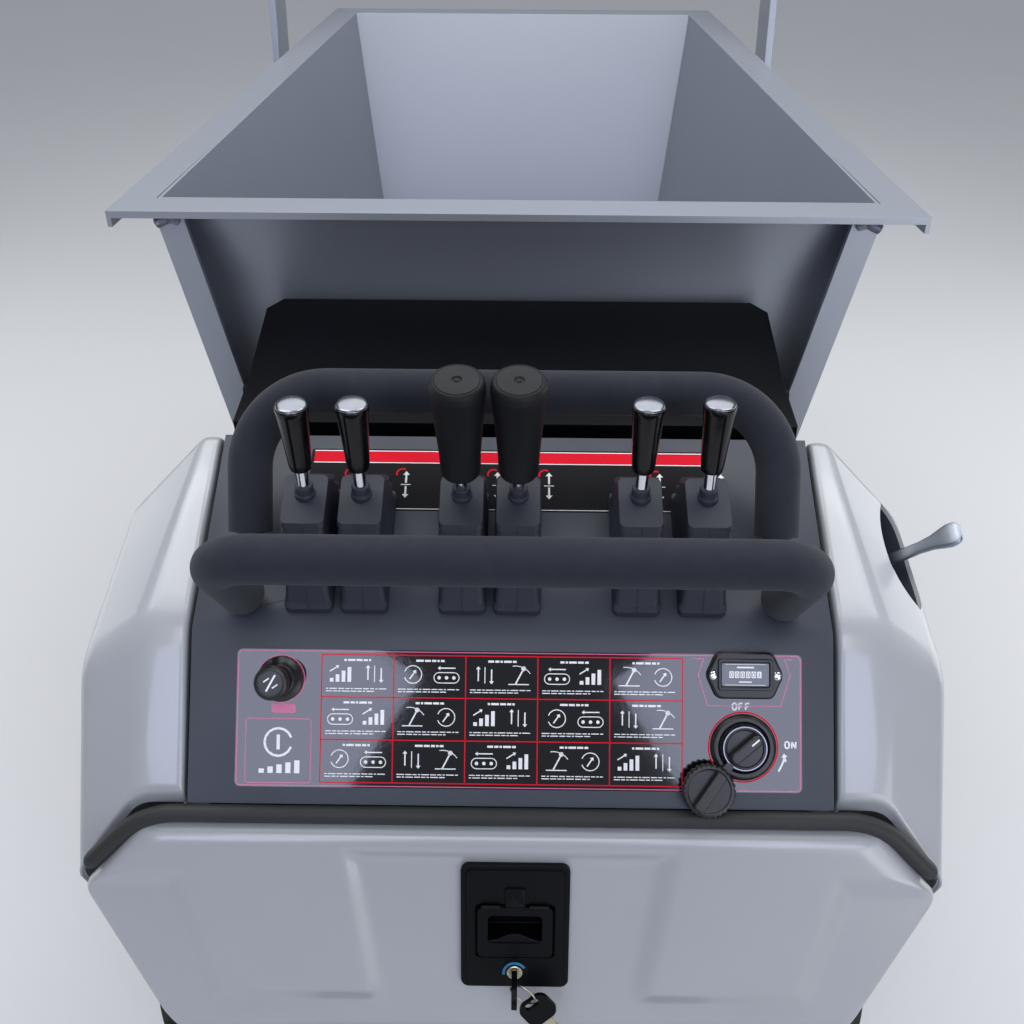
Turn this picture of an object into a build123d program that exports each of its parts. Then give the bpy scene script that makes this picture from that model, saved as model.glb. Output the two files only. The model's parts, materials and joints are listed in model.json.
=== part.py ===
"""A self-loading tracked mini dumper, built as separate pieces.

Lengths are in millimetres. X is to the operator's right, Y is forward, Z is up
and the ground is at Z = 0. Y is laid out from the rear edge of the step, and the
finished machine is moved at the end so that its footprint is centred on the origin.
Side views are written as (Y, Z) points.
"""
import os
from math import atan2, cos, degrees, hypot, radians, sin

from build123d import *

# Fits
running_clearance = 0.05
easy_clearance = 0.2
air_gap = 2
side_gap = 4

# Console panel: two flat faces folded from one sheet
panel_width = 610
panel_thickness = 3
panel_bottom_y = 390
panel_bottom_z = 754
lower_face_length = 164.6
lower_face_slope = 52.1
upper_face_length = 222.8
upper_face_slope = 25

# Instruments on the lower face: X, then distance up the face
choke_x = -218.6
choke_up = 117.6
choke_travel = 32
hour_meter_x = 220.3
hour_meter_up = 126
hour_meter_width = 73
hour_meter_height = 44
switch_x = 219.4
switch_up = 58.6
switch_diameter = 62
dust_cap_x = 185
dust_cap_up = 20
dust_cap_diameter = 50

# Levers: X, lean back from upright; distances run along the upper face
lever_places = [
    ("left_outer", -195, 7, "knob"),
    ("left_inner", -142, 6, "knob"),
    ("left_drive", -48, 11, "grip"),
    ("right_drive", 5, 11, "grip"),
    ("right_inner", 119, 4, "knob"),
    ("right_outer", 182, 2, "knob"),
]
lever_swing = 15
stem_radius = 6
stem_along = 103
stem_above_boot = 31
stem_into_knob = 30
pivot_below_boot_top = 118
pivot_pin_radius = 4
pivot_eye_radius = 11
pivot_eye_width = 10
boot_height = 80
boot_top_along = 97
boot_base_along = 84
boot_base_length = 134
boot_width = 46
boot_wall = 2.5
knob_length = 74
knob_radius = 15
grip_length = 108
grip_radius = 25
grip_above_boot = 30

# Hand rails
rail_tube_radius = 13.5
rail_tube_wall = 2.5
foam_radius = 21.5
lower_foam_start = 18
upper_foam_start = 36
rail_half_width = 257
lower_rail_along = 33
lower_rail_length = 150
lower_rail_angle = 128.5
lower_rail_bend = 40
upper_rail_along = 65
upper_rail_length = 174
upper_rail_angle = 60
upper_rail_bend = 76

# Body mouldings
cowl_inner_x = 313
cowl_ridge_x = 343
cowl_outer_x = 417
cowl_wall = 4
cowl_lift = 5
body_floor_z = 470
cover_thickness = 5
cover_hinge_y = 368
cover_hinge_z = 446
cover_open_angle = 75
seal_radius = 5.5
hood_width = 600
hood_thickness = 3
hood_clearance = 14
hood_corner = 18

# Skip
rim_height = 1160
rim_rear_y = 858
rim_front_y = 2008
rim_width = 42
rim_lip = 18
rim_rear_half_width = 448
rim_front_half_width = 360
skip_wall = 4
skip_fold_back = 91
skip_fold_drop = 111
skip_foot_back = 97
skip_floor_z = 600
skip_side_lean = 0.17
skip_hinge_y = 1850
skip_hinge_z = 600
skip_pin_radius = 15
skip_tip_angle = 70

# Loader arms, side view
arm_pivot_y = 1685
arm_pivot_z = 545
arm_elbow_y = 1794
arm_elbow_z = 1251
shovel_pivot_y = 2294
shovel_pivot_z = 1394
arm_inner_x = 424
arm_thickness = 12
arm_depth = 90
torque_tube_radius = 30
torque_tube_wall = 6
arm_lower_angle = 76
arm_over_angle = 25
shovel_rest_angle = 96
shovel_back_angle = 85
shovel_forward_angle = 30
shovel_half_width = 402
shovel_plate = 8
trunnion_radius = 20

# Hydraulic cylinders: base and eye in side view, at rest
lift_base = (1630, 596)
lift_eye = (1760, 898)
tip_base = (1264, 371)
tip_eye = (1612, 542)
crowd_base = (1962, 1314.5)
crowd_eye = (2256, 1305)
ram_x = 474
lift_barrel_radius = 20
lift_rod_radius = 12
crowd_barrel_radius = 19
crowd_rod_radius = 10
tip_barrel_radius = 30
tip_rod_radius = 16
tip_eye_half = 18
tip_base_half = 32
cylinder_pin_radius = 12
cylinder_eye_radius = 24
cylinder_eye_width = 18

# Tracks
belt_inner_x = 265
belt_width = 180
belt_carcass = 20
belt_lug = 22
sprocket_y = 640
sprocket_z = 225
idler_y = 1780
idler_z = 205
wheel_path_radius = 140
roller_ys = [850, 1210, 1570]
roller_path_radius = 60
wheel_clearance = 1
wheel_width = 46
track_plate = 12
axle_radius = 13
motor_shaft_radius = 20

# Chassis and step
rail_inner_x = 180
rail_outer_x = 240
rail_bottom_z = 360
rail_top_z = 450
rail_rear_y = 410
rail_front_y = 1880
rail_wall = 6
step_hinge_y = 290
step_hinge_z = 200
step_pin_radius = 9
step_width = 520
step_thickness = 6
step_fold_angle = 90


def along(point, angle, distance):
    """The side-view point at a distance from another, at an angle up from forward."""
    return (
        point[0] + distance * cos(radians(angle)),
        point[1] + distance * sin(radians(angle)),
    )


def beside(points, distance):
    """A mitred copy of an open side-view line, moved to its left by a distance."""
    angles = [
        atan2(b[1] - a[1], b[0] - a[0]) for a, b in zip(points, points[1:])
    ]
    moved = []
    for i, point in enumerate(points):
        before = angles[max(i - 1, 0)]
        after = angles[min(i, len(angles) - 1)]
        middle = (before + after) / 2
        reach = distance / cos((after - before) / 2)
        moved.append((point[0] - reach * sin(middle), point[1] + reach * cos(middle)))
    return moved


def strip(points, half_width):
    """The outline of a band that follows an open side-view line."""
    return beside(points, half_width) + beside(points, -half_width)[::-1]


def side_plate(points, x_from, x_to):
    """A side-view outline, solid between two X positions."""
    face = Plane.YZ.offset(x_from) * Polygon(*points, align=None)
    return extrude(face, amount=x_to - x_from, dir=(1, 0, 0))


def plan_plate(points, z_from, z_to):
    """A plan-view (X, Y) outline, solid between two heights."""
    face = Plane.XY.offset(z_from) * Polygon(*points, align=None)
    return extrude(face, amount=z_to - z_from, dir=(0, 0, 1))


def rear_plate(points, y_from, y_to):
    """A rear-view (X, Z) outline, solid between two Y positions."""
    face = Plane.XZ.offset(-y_from) * Polygon(*points, align=None)
    return extrude(face, amount=y_to - y_from, dir=(0, 1, 0))


def block(x_from, x_to, y_from, y_to, z_from, z_to):
    """A box between two positions on each axis."""
    size = (x_to - x_from, y_to - y_from, z_to - z_from)
    middle = ((x_from + x_to) / 2, (y_from + y_to) / 2, (z_from + z_to) / 2)
    return Pos(*middle) * Box(*size)


def rod_x(point, radius, x_from, x_to):
    """A round bar along X through a side-view point."""
    middle = Pos((x_from + x_to) / 2, point[0], point[1])
    return middle * Rot(0, 90, 0) * Cylinder(radius, x_to - x_from)


def turned(profile):
    """A solid turned about Z from (radius, height) points."""
    return revolve(Plane.XZ * Polygon(*profile, align=None), axis=Axis.Z)


def leaning_plane(x, point, lean):
    """A plane whose Z axis leans back from upright by an angle, at a side-view point."""
    up = (0, -sin(radians(lean)), cos(radians(lean)))
    return Plane(origin=(x, point[0], point[1]), x_dir=(1, 0, 0), z_dir=up)


def mirrored(shape):
    """The same piece on the other side of the machine."""
    return mirror(shape, about=Plane.YZ)


def group(*shapes):
    """Several separate solids kept as one named piece."""
    return Compound([solid for shape in shapes for solid in shape.solids()])


def both_sides(shape):
    """A right-hand piece together with its left-hand twin."""
    return group(shape, mirrored(shape))


pieces = {}

# Console geometry
panel_bottom = (panel_bottom_y, panel_bottom_z)
panel_bend = along(panel_bottom, lower_face_slope, lower_face_length)
panel_top = along(panel_bend, upper_face_slope, upper_face_length)
lower_face = leaning_plane(0, panel_bottom, lower_face_slope)
upper_face = leaning_plane(0, panel_bend, upper_face_slope)
half_panel = panel_width / 2


def above_panel(distance, height):
    """The side-view point at a distance up the upper face and a height off it."""
    on_face = along(panel_bend, upper_face_slope, distance)
    return along(on_face, upper_face_slope + 90, height)


stem_exit = above_panel(stem_along, boot_height)


def lever_pivot(lean):
    """The side-view point where a lever of this lean turns on its valve."""
    return along(stem_exit, 90 + lean, -pivot_below_boot_top)


# Hand rails: a plane for each rail, with its feet on the upper face
lower_foot = above_panel(lower_rail_along, 0)
upper_foot = above_panel(upper_rail_along, 0)


def rail_path(foot, angle, start, length, bend):
    """The centre line of a hoop that rises from the panel at an angle."""
    direction = (0, cos(radians(angle)), sin(radians(angle)))
    normal = (0, -direction[2], direction[1])
    plane = Plane(origin=(0, foot[0], foot[1]), x_dir=(1, 0, 0), z_dir=normal)
    if plane.y_dir.Z < 0:
        plane = Plane(origin=plane.origin, x_dir=(1, 0, 0), z_dir=-plane.z_dir)
    corners = [
        (-rail_half_width, start),
        (-rail_half_width, length),
        (rail_half_width, length),
        (rail_half_width, start),
    ]
    return plane * FilletPolyline(*corners, radius=bend)


def swept_ring(path, outer, inner):
    """A round tube along a path."""
    start = Plane(origin=path @ 0, z_dir=path % 0)
    return sweep(start * (Circle(outer) - Circle(inner)), path=path)


tube_below_panel = -30
rails = []
foams = []
rail_holes = []
for foot, angle, foam_start, length, bend in [
    (lower_foot, lower_rail_angle, lower_foam_start, lower_rail_length, lower_rail_bend),
    (upper_foot, upper_rail_angle, upper_foam_start, upper_rail_length, upper_rail_bend),
]:
    tube_path = rail_path(foot, angle, tube_below_panel, length, bend)
    foam_path = rail_path(foot, angle, foam_start, length, bend)
    rails.append(swept_ring(tube_path, rail_tube_radius, rail_tube_radius - rail_tube_wall))
    foams.append(swept_ring(foam_path, foam_radius, rail_tube_radius))
    for side in (-1, 1):
        hole = leaning_plane(side * rail_half_width, foot, angle - 90)
        rail_holes.append(hole * Cylinder(rail_tube_radius + easy_clearance, 80))
pieces["rail_tubes"] = group(*rails)
pieces["rail_foam"] = group(*foams)

# Console panel with its openings
panel_return = 26
panel_line = [
    (panel_bottom[0] + panel_return, panel_bottom[1] - 4),
    panel_bottom,
    panel_bend,
    panel_top,
    (panel_top[0] + 4, panel_top[1] - panel_return),
]
panel_outline = panel_line + beside(panel_line, -panel_thickness)[::-1]
panel = side_plate(panel_outline, -half_panel, half_panel)
lever_slot = (32, 66)
for name, x, lean, kind in lever_places:
    slot = upper_face * Pos(x, stem_along - 27, 0) * Box(*lever_slot, 40)
    panel -= slot
for hole in rail_holes:
    panel -= hole
choke_plane = lower_face * Pos(choke_x, choke_up, 0)
meter_plane = lower_face * Pos(hour_meter_x, hour_meter_up, 0)
switch_plane = lower_face * Pos(switch_x, switch_up, 0)
choke_hole_radius = 9
switch_neck_radius = 15
panel -= choke_plane * Cylinder(choke_hole_radius, 40)
panel -= switch_plane * Cylinder(switch_neck_radius + easy_clearance, 40)
meter_case_width = hour_meter_width - 21
meter_case_height = hour_meter_height - 12
meter_hole = Box(meter_case_width + 1, meter_case_height + 1, 40)
panel -= meter_plane * meter_hole
pieces["console_panel"] = panel

# Hour meter: six-sided bezel, window and case behind the panel
bezel_outline = [
    (-hour_meter_width / 2, 0),
    (-hour_meter_width / 2 + 10, hour_meter_height / 2),
    (hour_meter_width / 2 - 10, hour_meter_height / 2),
    (hour_meter_width / 2, 0),
    (hour_meter_width / 2 - 10, -hour_meter_height / 2),
    (-hour_meter_width / 2 + 10, -hour_meter_height / 2),
]
bezel = extrude(Polygon(*bezel_outline, align=None), amount=7, dir=(0, 0, 1))
bezel = chamfer(bezel.faces().sort_by(Axis.Z)[-1].edges(), 1.5)
window_recess = Pos(0, 1, 6.5) * Box(44, 17, 4)
meter_case = Pos(0, 0, -14) * Box(meter_case_width, meter_case_height, 28)
meter = bezel - window_recess + meter_case
for side in (-1, 1):
    screw = Pos(side * 27.5, 0, 7) * Cylinder(3.6, 2.4)
    slots = Pos(side * 27.5, 0, 8) * (Box(5, 1, 1.4) + Box(1, 5, 1.4))
    meter = meter + (screw - slots)
pieces["hour_meter"] = meter_plane * meter

# Choke: rubber collar on the panel and a pull knob on a shaft
choke_shaft_radius = 4
choke_stand_off = 44
collar = turned(
    [(choke_shaft_radius + 1, 0), (21.5, 0), (21.5, 5), (17, 8), (14, 12), (choke_shaft_radius + 1, 12)]
)
collar += Pos(0, 0, -6) * (Cylinder(choke_hole_radius - 0.5, 12) - Cylinder(choke_shaft_radius + 1, 12))
pieces["choke_collar"] = choke_plane * collar
choke_knob = turned(
    [
        (0, -45),
        (choke_shaft_radius, -45),
        (choke_shaft_radius, 20),
        (9, 22),
        (11, 32),
        (15, 38),
        (15, choke_stand_off),
        (12.5, choke_stand_off + 2),
        (0, choke_stand_off + 2),
    ]
)
pieces["choke_knob"] = choke_plane * choke_knob

# Ignition switch: bezel ring on the panel and a turning knob with a bar grip
switch_radius = switch_diameter / 2
knob_post_radius = 8
ring = turned(
    [
        (knob_post_radius + running_clearance, 0),
        (switch_radius, 0),
        (switch_radius, 3),
        (switch_radius - 3, 6),
        (switch_radius - 7, 6),
        (switch_radius - 8, 3),
        (knob_post_radius + running_clearance, 3),
    ]
)
neck = Cylinder(switch_neck_radius, 30) - Cylinder(knob_post_radius + running_clearance, 30)
pieces["ignition_switch"] = switch_plane * (ring + Pos(0, 0, -14.5) * neck)
switch_knob_radius = 20
knob_disc = turned(
    [(0, 3.5), (switch_knob_radius, 3.5), (switch_knob_radius, 9), (switch_knob_radius - 3, 11), (0, 11)]
)
knob_bar = Rot(0, 0, 40) * Pos(0, 0, 14) * Box(2 * switch_knob_radius - 4, 11, 12)
knob_bar = fillet(knob_bar.edges().filter_by(Axis.Z), 4)
knob_post = Pos(0, 0, -10) * Cylinder(knob_post_radius, 30)
pieces["ignition_knob"] = switch_plane * (knob_disc + knob_bar + knob_post)

# Dust cap of the switch, hanging on its strap
cap_plane = lower_face * Pos(dust_cap_x, dust_cap_up, 0)
cap_radius = dust_cap_diameter / 2
cap = Pos(0, 0, 5) * Cylinder(cap_radius, 9)
cap = fillet(cap.faces().sort_by(Axis.Z)[-1].edges(), 3)
strap_angle = degrees(atan2(switch_up - dust_cap_up, switch_x - dust_cap_x))
cap += Rot(0, 0, strap_angle) * Pos(cap_radius, 0, 0.6) * Box(9, 8, 5.2)
dust_cap_stand_off = 8
pieces["dust_cap"] = cap_plane * Pos(0, 0, dust_cap_stand_off) * cap

# Lever boots: stepped rubber bellows on the upper face
boot_steps = [
    (0, 1.0, 1.0),
    (7, 1.0, 1.0),
    (9, 0.93, 0.95),
    (30, 0.8, 0.87),
    (32, 0.86, 0.96),
    (54, 0.63, 0.85),
    (56, 0.7, 0.95),
    (74, 0.44, 0.85),
    (75.5, 0.43, 0.92),
]


def boot_block(inset, steps):
    """The stacked bellows outline, drawn in by an inset on every side."""
    body = None
    for (h0, long0, wide0), (h1, long1, wide1) in zip(steps, steps[1:]):
        faces = []
        for h, long, wide in ((h0, long0, wide0), (h1, long1, wide1)):
            drift = (boot_top_along - boot_base_along) * h / boot_height
            size = (boot_width * wide - 2 * inset, boot_base_length * long - 2 * inset)
            faces.append(Pos(0, drift, h) * RectangleRounded(*size, 5))
        layer = loft(faces, ruled=True)
        body = layer if body is None else body + layer
    return body


last_step = boot_steps[-1]
boot_outer = boot_block(0, boot_steps + [(boot_height, last_step[1], last_step[2])])
boot_inner = boot_block(boot_wall, boot_steps)
boots = []
for name, x, lean, kind in lever_places:
    place = upper_face * Pos(x, boot_base_along, 0)
    boot = place * boot_outer - place * boot_inner
    stem_plane = leaning_plane(x, lever_pivot(lean), lean)
    boot -= stem_plane * Pos(0, 0, 125) * Cylinder(stem_radius + easy_clearance, 140)
    boots.append(boot)
pieces["lever_boots"] = group(*boots)

# Levers: a steel stem with a pivot eye, and a knob or a grip
knob_profile = [
    (0, 0),
    (knob_radius - 5, 0),
    (knob_radius - 4, 8),
    (knob_radius - 2.8, knob_length - 44),
    (knob_radius - 0.8, knob_length - 16),
    (knob_radius, knob_length - 8),
    (knob_radius - 0.6, knob_length - 4),
    (knob_radius - 3, knob_length - 1.4),
    (knob_radius - 7, knob_length),
    (0, knob_length),
]
grip_profile = [
    (0, 0),
    (grip_radius - 8, 0),
    (grip_radius - 6.5, 3),
    (grip_radius - 6, 24),
    (grip_radius - 4, grip_length - 56),
    (grip_radius - 1.4, grip_length - 26),
    (grip_radius, grip_length - 11),
    (grip_radius - 0.7, grip_length - 5),
    (grip_radius - 3, grip_length - 1.4),
    (grip_radius - 6, grip_length),
    (grip_radius - 7.5, grip_length - 1.6),
    (6, grip_length - 1.6),
    (5, grip_length - 4),
    (0, grip_length - 4),
]
valve_ears = []
for name, x, lean, kind in lever_places:
    pivot = lever_pivot(lean)
    plane = leaning_plane(x, pivot, lean)
    handle_start = pivot_below_boot_top + (stem_above_boot if kind == "knob" else grip_above_boot)
    stem_length = handle_start + stem_into_knob
    stem = plane * Pos(0, 0, stem_length / 2) * Cylinder(stem_radius, stem_length)
    stem += rod_x(pivot, pivot_eye_radius, x - pivot_eye_width / 2, x + pivot_eye_width / 2)
    stem -= rod_x(pivot, pivot_pin_radius + running_clearance, x - 20, x + 20)
    pieces[name + "_stem"] = stem
    handle = turned(knob_profile if kind == "knob" else grip_profile)
    handle -= Pos(0, 0, stem_into_knob / 2) * Cylinder(stem_radius, stem_into_knob)
    pieces[name + "_" + kind] = plane * Pos(0, 0, handle_start) * handle
    ear = rod_x(pivot, pivot_eye_radius, -2.5, 2.5)
    ear += side_plate(
        [
            (pivot[0] - pivot_eye_radius, pivot[1]),
            (pivot[0] + pivot_eye_radius, pivot[1]),
            (pivot[0] + pivot_eye_radius, pivot[1] - 40),
            (pivot[0] - pivot_eye_radius, pivot[1] - 40),
        ],
        -2.5,
        2.5,
    )
    ear_offset = pivot_eye_width / 2 + 3.5
    valve_ears.append(Pos(x - ear_offset, 0, 0) * ear)
    valve_ears.append(Pos(x + ear_offset, 0, 0) * ear)
    valve_ears.append(rod_x(pivot, pivot_pin_radius, x - ear_offset - 2, x + ear_offset + 2))

# Valve bank under the levers
valve_top_z = lever_pivot(7)[1] - 22
valve_y = lever_pivot(10)[0]
valve_bank = block(-225, 215, valve_y - 34, valve_y + 34, valve_top_z - 75, valve_top_z)
for ear in valve_ears:
    valve_bank += ear
shelf_top = valve_top_z - 50
for x_from, x_to in ((-half_panel + 13, -215), (205, half_panel - 13)):
    valve_bank += block(x_from, x_to, valve_y - 20, valve_y + 20, shelf_top - 20, shelf_top)
pieces["valve_bank"] = valve_bank

# Engine bay: side plates, front wall and floor under the console
bay_x = half_panel - 13
bay_sheet = 4
bay_front_y = 864
under = beside([panel_bottom, panel_bend, panel_top], -panel_thickness)
bay_rear = along(under[0], lower_face_slope, 40)
bay_top_z = panel_top[1] - 40
bay_outline = [
    (bay_rear[0], rail_top_z + 5),
    bay_rear,
    under[1],
    along(under[1], upper_face_slope, 150),
    (panel_top[0] - 12, bay_top_z),
    (bay_front_y, bay_top_z),
    (bay_front_y, rail_top_z + 5),
]
bay_side = side_plate(bay_outline, bay_x, bay_x + bay_sheet)
bay_outer_x = bay_x + bay_sheet
hood_inner_x = hood_width / 2 - hood_thickness
hood_tab_ys = (755, 835)
for y in hood_tab_ys:
    bay_side += block(bay_x, hood_inner_x, y, y + 20, bay_top_z - 20, bay_top_z + 36)
cowl_bars = [(425, 600), (845, 560), (845, 700)]
for y, z in cowl_bars:
    bay_side += block(bay_outer_x - 1, cowl_inner_x, y - 18, y + 18, z - 10, z + 10)
engine_bay = bay_side + mirrored(bay_side)
engine_bay += block(
    -bay_outer_x, bay_outer_x, bay_front_y, bay_front_y + bay_sheet, rail_top_z, bay_top_z
)
engine_bay += block(-bay_outer_x, bay_outer_x, bay_rear[0], bay_front_y + 2, rail_top_z, rail_top_z + 6)

# Engine: crankcase, finned cylinder, fan shroud, silencer and air filter
bay_floor = rail_top_z + 6
engine = block(-130, 120, 470, 680, bay_floor, bay_floor + 130)
engine += block(-60, 60, 500, 650, bay_floor + 130, bay_floor + 210)
for level in range(5):
    engine += block(-78, 78, 486, 664, bay_floor + 140 + 15 * level, bay_floor + 145 + 15 * level)
engine += Pos(-146, 575, bay_floor + 115) * Rot(0, 90, 0) * Cylinder(100, 46)
engine += block(118, 190, 500, 650, bay_floor + 60, bay_floor + 150)
engine += block(60, 176, 520, 620, bay_floor + 150, bay_floor + 215)
pieces["engine"] = engine

# Oil tank in front of the engine, with its filler
tank = block(-240, 240, 700, 850, bay_floor, bay_floor + 290)
tank = fillet(tank.edges().filter_by(Axis.Z), 18)
tank += Pos(170, 775, bay_floor + 298) * Cylinder(32, 20)
pieces["hydraulic_tank"] = tank

# Hood between the console and the skip
hood_start = panel_top[0] + 16
hood_crease_y = panel_top[0] + 98
hood_low = panel_top[1] + 7
hood_mid = panel_top[1] + 14
hood_high = panel_top[1] + 48
hood_skirt = 38


def skip_rear_y(z):
    """How far forward the skip's rear wall stands at a height."""
    above_fold = max(0, z - rim_height + skip_fold_drop)
    return rim_rear_y + skip_fold_back - above_fold * (skip_fold_back - rim_width) / skip_fold_drop


hood_end = skip_rear_y(hood_high) - hood_clearance


def hood_block(inset, drop):
    """The hood's outer or inner block, with its clipped far corners."""
    half = hood_width / 2 - inset
    profile = side_plate(
        [
            (hood_start + inset, hood_low - hood_skirt - drop),
            (hood_start + inset, hood_low - inset),
            (hood_crease_y, hood_mid - inset),
            (hood_end - inset, hood_high - inset),
            (hood_end - inset, hood_low - hood_skirt - drop),
        ],
        -half,
        half,
    )
    plan = plan_plate(
        [
            (-half, hood_start),
            (half, hood_start),
            (half, hood_end - hood_corner),
            (half - hood_corner, hood_end),
            (hood_corner - half, hood_end),
            (-half, hood_end - hood_corner),
        ],
        hood_low - 200,
        hood_high + 50,
    )
    return profile & plan


hood = hood_block(0, 0) - hood_block(hood_thickness, 1)
for side in (-1, 1):
    bolt = Pos(side * (hood_width / 2 + 2), hood_crease_y - 4, hood_mid - 12) * Rot(0, 90, 0)
    hood += bolt * Cylinder(8, 6)
pieces["hood"] = hood

# Side cowls: an inner ridge strip and a bevel out to the side, hollow inside
cowl_front_y = panel_top[0] + 12
cowl_tail_y = 850
cowl_tail_ridge_z = 868
cowl_tail_outer_z = 780
cowl_high = [along(p, a + 90, cowl_lift) for p, a in (
    (panel_bottom, lower_face_slope),
    (panel_bend, (lower_face_slope + upper_face_slope) / 2),
    (panel_top, upper_face_slope),
)]


def cowl_outlines(inset):
    """The ridge and outer side-view outlines, drawn in by an inset."""
    ridge = [
        along(along(cowl_high[0], lower_face_slope, 14), lower_face_slope - 90, inset),
        along(cowl_high[1], -51, inset),
        along(cowl_high[2], upper_face_slope - 120, inset),
        (cowl_front_y - inset, panel_top[1] - 14 - inset),
        (cowl_front_y + 24 - inset, cowl_tail_ridge_z - inset),
        (cowl_tail_y - inset, cowl_tail_ridge_z - inset),
        (cowl_tail_y - inset, body_floor_z - 1),
        (panel_bottom_y + 50 + inset, body_floor_z - 1),
    ]
    outer = [
        (panel_bottom_y - 22 + inset * 1.5, panel_bottom_z - 78),
        (panel_bend[0] - 26 + inset, panel_bend[1] - 42 - inset),
        (panel_top[0] - 66, panel_top[1] - 52 - inset),
        (cowl_front_y - 20 - inset, panel_top[1] - 92 - inset),
        (cowl_front_y + 40 - inset, cowl_tail_outer_z - inset),
        (cowl_tail_y - inset, cowl_tail_outer_z - inset),
        (cowl_tail_y - inset, body_floor_z - 1),
        (panel_bottom_y + 50 + inset, body_floor_z - 1),
    ]
    return ridge, outer


def cowl_block(inset):
    """The cowl's outer or inner block on the right-hand side."""
    ridge, outer = cowl_outlines(inset)
    flat = side_plate(ridge, cowl_inner_x - inset, cowl_ridge_x)
    faces = [
        Plane.YZ.offset(cowl_ridge_x) * Polygon(*ridge, align=None),
        Plane.YZ.offset(cowl_outer_x - inset) * Polygon(*outer, align=None),
    ]
    return flat + loft(faces, ruled=True)


floor_cut = block(0, 600, 0, 1200, 0, body_floor_z)
cowl = cowl_block(0) - cowl_block(cowl_wall) - floor_cut
pieces["left_cowl"] = mirrored(cowl)

# Throttle: slot in the right cowl and a lever that swings along it
throttle_slope = upper_face_slope
throttle_root = (388, panel_bend[0] + 116, panel_bend[1] + 2)
throttle_lean = 48
throttle_normal = (
    sin(radians(throttle_lean)),
    -sin(radians(throttle_slope)) * 0.55,
    cos(radians(throttle_lean)),
)
throttle_run = (0, cos(radians(throttle_slope)), sin(radians(throttle_slope)))
throttle_plane = Plane(origin=throttle_root, x_dir=throttle_run, z_dir=throttle_normal)
slot_length = 110
slot_width = 30
throttle_slot = throttle_plane * extrude(SlotOverall(slot_length, slot_width), amount=120, both=True)
pieces["right_cowl"] = cowl - throttle_slot
throttle_swing = 20
throttle_depth = 70
throttle_reach = 66
throttle_thickness = 5
throttle_pin_radius = 6
throttle_boss = throttle_thickness + 4
throttle_span = throttle_reach + throttle_depth
throttle_pivot = Pos(0, 0, -throttle_depth) * Rot(90, 0, 0)
throttle = Pos(0, 0, (throttle_reach - throttle_depth) / 2) * Box(16, throttle_thickness, throttle_span)
throttle += Pos(0, 0, throttle_reach) * Rot(90, 0, 0) * Cylinder(13, throttle_thickness)
throttle += throttle_pivot * Cylinder(12, throttle_boss)
throttle -= throttle_pivot * Cylinder(throttle_pin_radius + running_clearance, throttle_boss + 2)
pieces["throttle_lever"] = throttle_plane * throttle

# Throttle pin, standing on the right side of the engine bay
pivot_out = throttle_plane.origin.X - throttle_plane.z_dir.X * throttle_depth - bay_outer_x
pin_run = (pivot_out + 2) / -throttle_plane.y_dir.X
pin_head = throttle_boss / 2 + 1
pin_start = -pin_head - 3
pin_middle = (pin_start + pin_run) / 2
pin_length = pin_run - pin_start
throttle_pin = throttle_pivot * Pos(0, 0, -pin_middle) * Cylinder(throttle_pin_radius, pin_length)
throttle_pin += throttle_pivot * Pos(0, 0, pin_head + 1.5) * Cylinder(throttle_pin_radius + 3, 3)
pieces["engine_bay"] = engine_bay + throttle_plane * throttle_pin

# Rear cover: a folded and chamfered door with a raised rim and a latch
cover_line = [
    (panel_bottom_y - 14, panel_bottom_z - 14),
    (panel_bottom_y - 80, panel_bottom_z - 194),
    (panel_bottom_y - 46, panel_bottom_z - 316),
]
cover_angle = degrees(atan2(cover_line[0][1] - cover_line[1][1], cover_line[0][0] - cover_line[1][0]))
cover_sheet = cover_line + beside(cover_line, cover_thickness)[::-1]
cover_half_top = 342
cover_half_wide = 410
cover_half_crease = 350
cover_half_bottom = 292
cover_right = [
    (cover_half_top, cover_line[0][1] + 5),
    (cover_half_wide, cover_line[0][1] - 64),
    (cover_half_crease, cover_line[1][1]),
    (cover_half_bottom, cover_line[2][1] - 5),
]
cover_outline = cover_right + [(-x, z) for x, z in cover_right[::-1]]
cover_reach = (panel_bottom_y - 200, panel_bottom_y + 60)
cover = side_plate(cover_sheet, -500, 500) & rear_plate(cover_outline, *cover_reach)

# The cover's raised field, drawn on its sloping face, with a sunk middle for the latch
cover_normal = (0, -sin(radians(cover_angle)), cos(radians(cover_angle)))
cover_face = Plane(origin=(0, *cover_line[0]), x_dir=(1, 0, 0), z_dir=cover_normal)
cover_length = hypot(cover_line[0][0] - cover_line[1][0], cover_line[0][1] - cover_line[1][1])
relief_height = 6
relief_taper = 45
shoulder_drop = 54
relief_right = [
    (cover_half_top - 6, -6),
    (cover_half_wide - 24, -shoulder_drop),
    (cover_half_wide - 92, -shoulder_drop - 4),
    (cover_half_crease - 65, 4 - cover_length),
]
relief_outline = relief_right + [(-x, y) for x, y in relief_right[::-1]]
relief_depth = relief_height + 1
relief_base = Polygon(*relief_outline, align=None)
relief = extrude(relief_base, amount=relief_depth, dir=(0, 0, 1), taper=relief_taper)
middle_half_top = 148
middle_half_bottom = 122
middle_drop = 32
middle_outline = [
    (-middle_half_top, -middle_drop),
    (-middle_half_bottom, -cover_length - 20),
    (middle_half_bottom, -cover_length - 20),
    (middle_half_top, -middle_drop),
]
middle_base = Polygon(*middle_outline, align=None)
middle = extrude(middle_base, amount=relief_depth, dir=(0, 0, 1), taper=-relief_taper)
cover += cover_face * (Pos(0, 0, -1) * relief - middle)
cover_hinge = (cover_hinge_y, cover_hinge_z)
cover_pin_radius = 5
cover_knuckle_radius = 9
cover_knuckle_x = 200
cover_knuckle_half = 30
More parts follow.
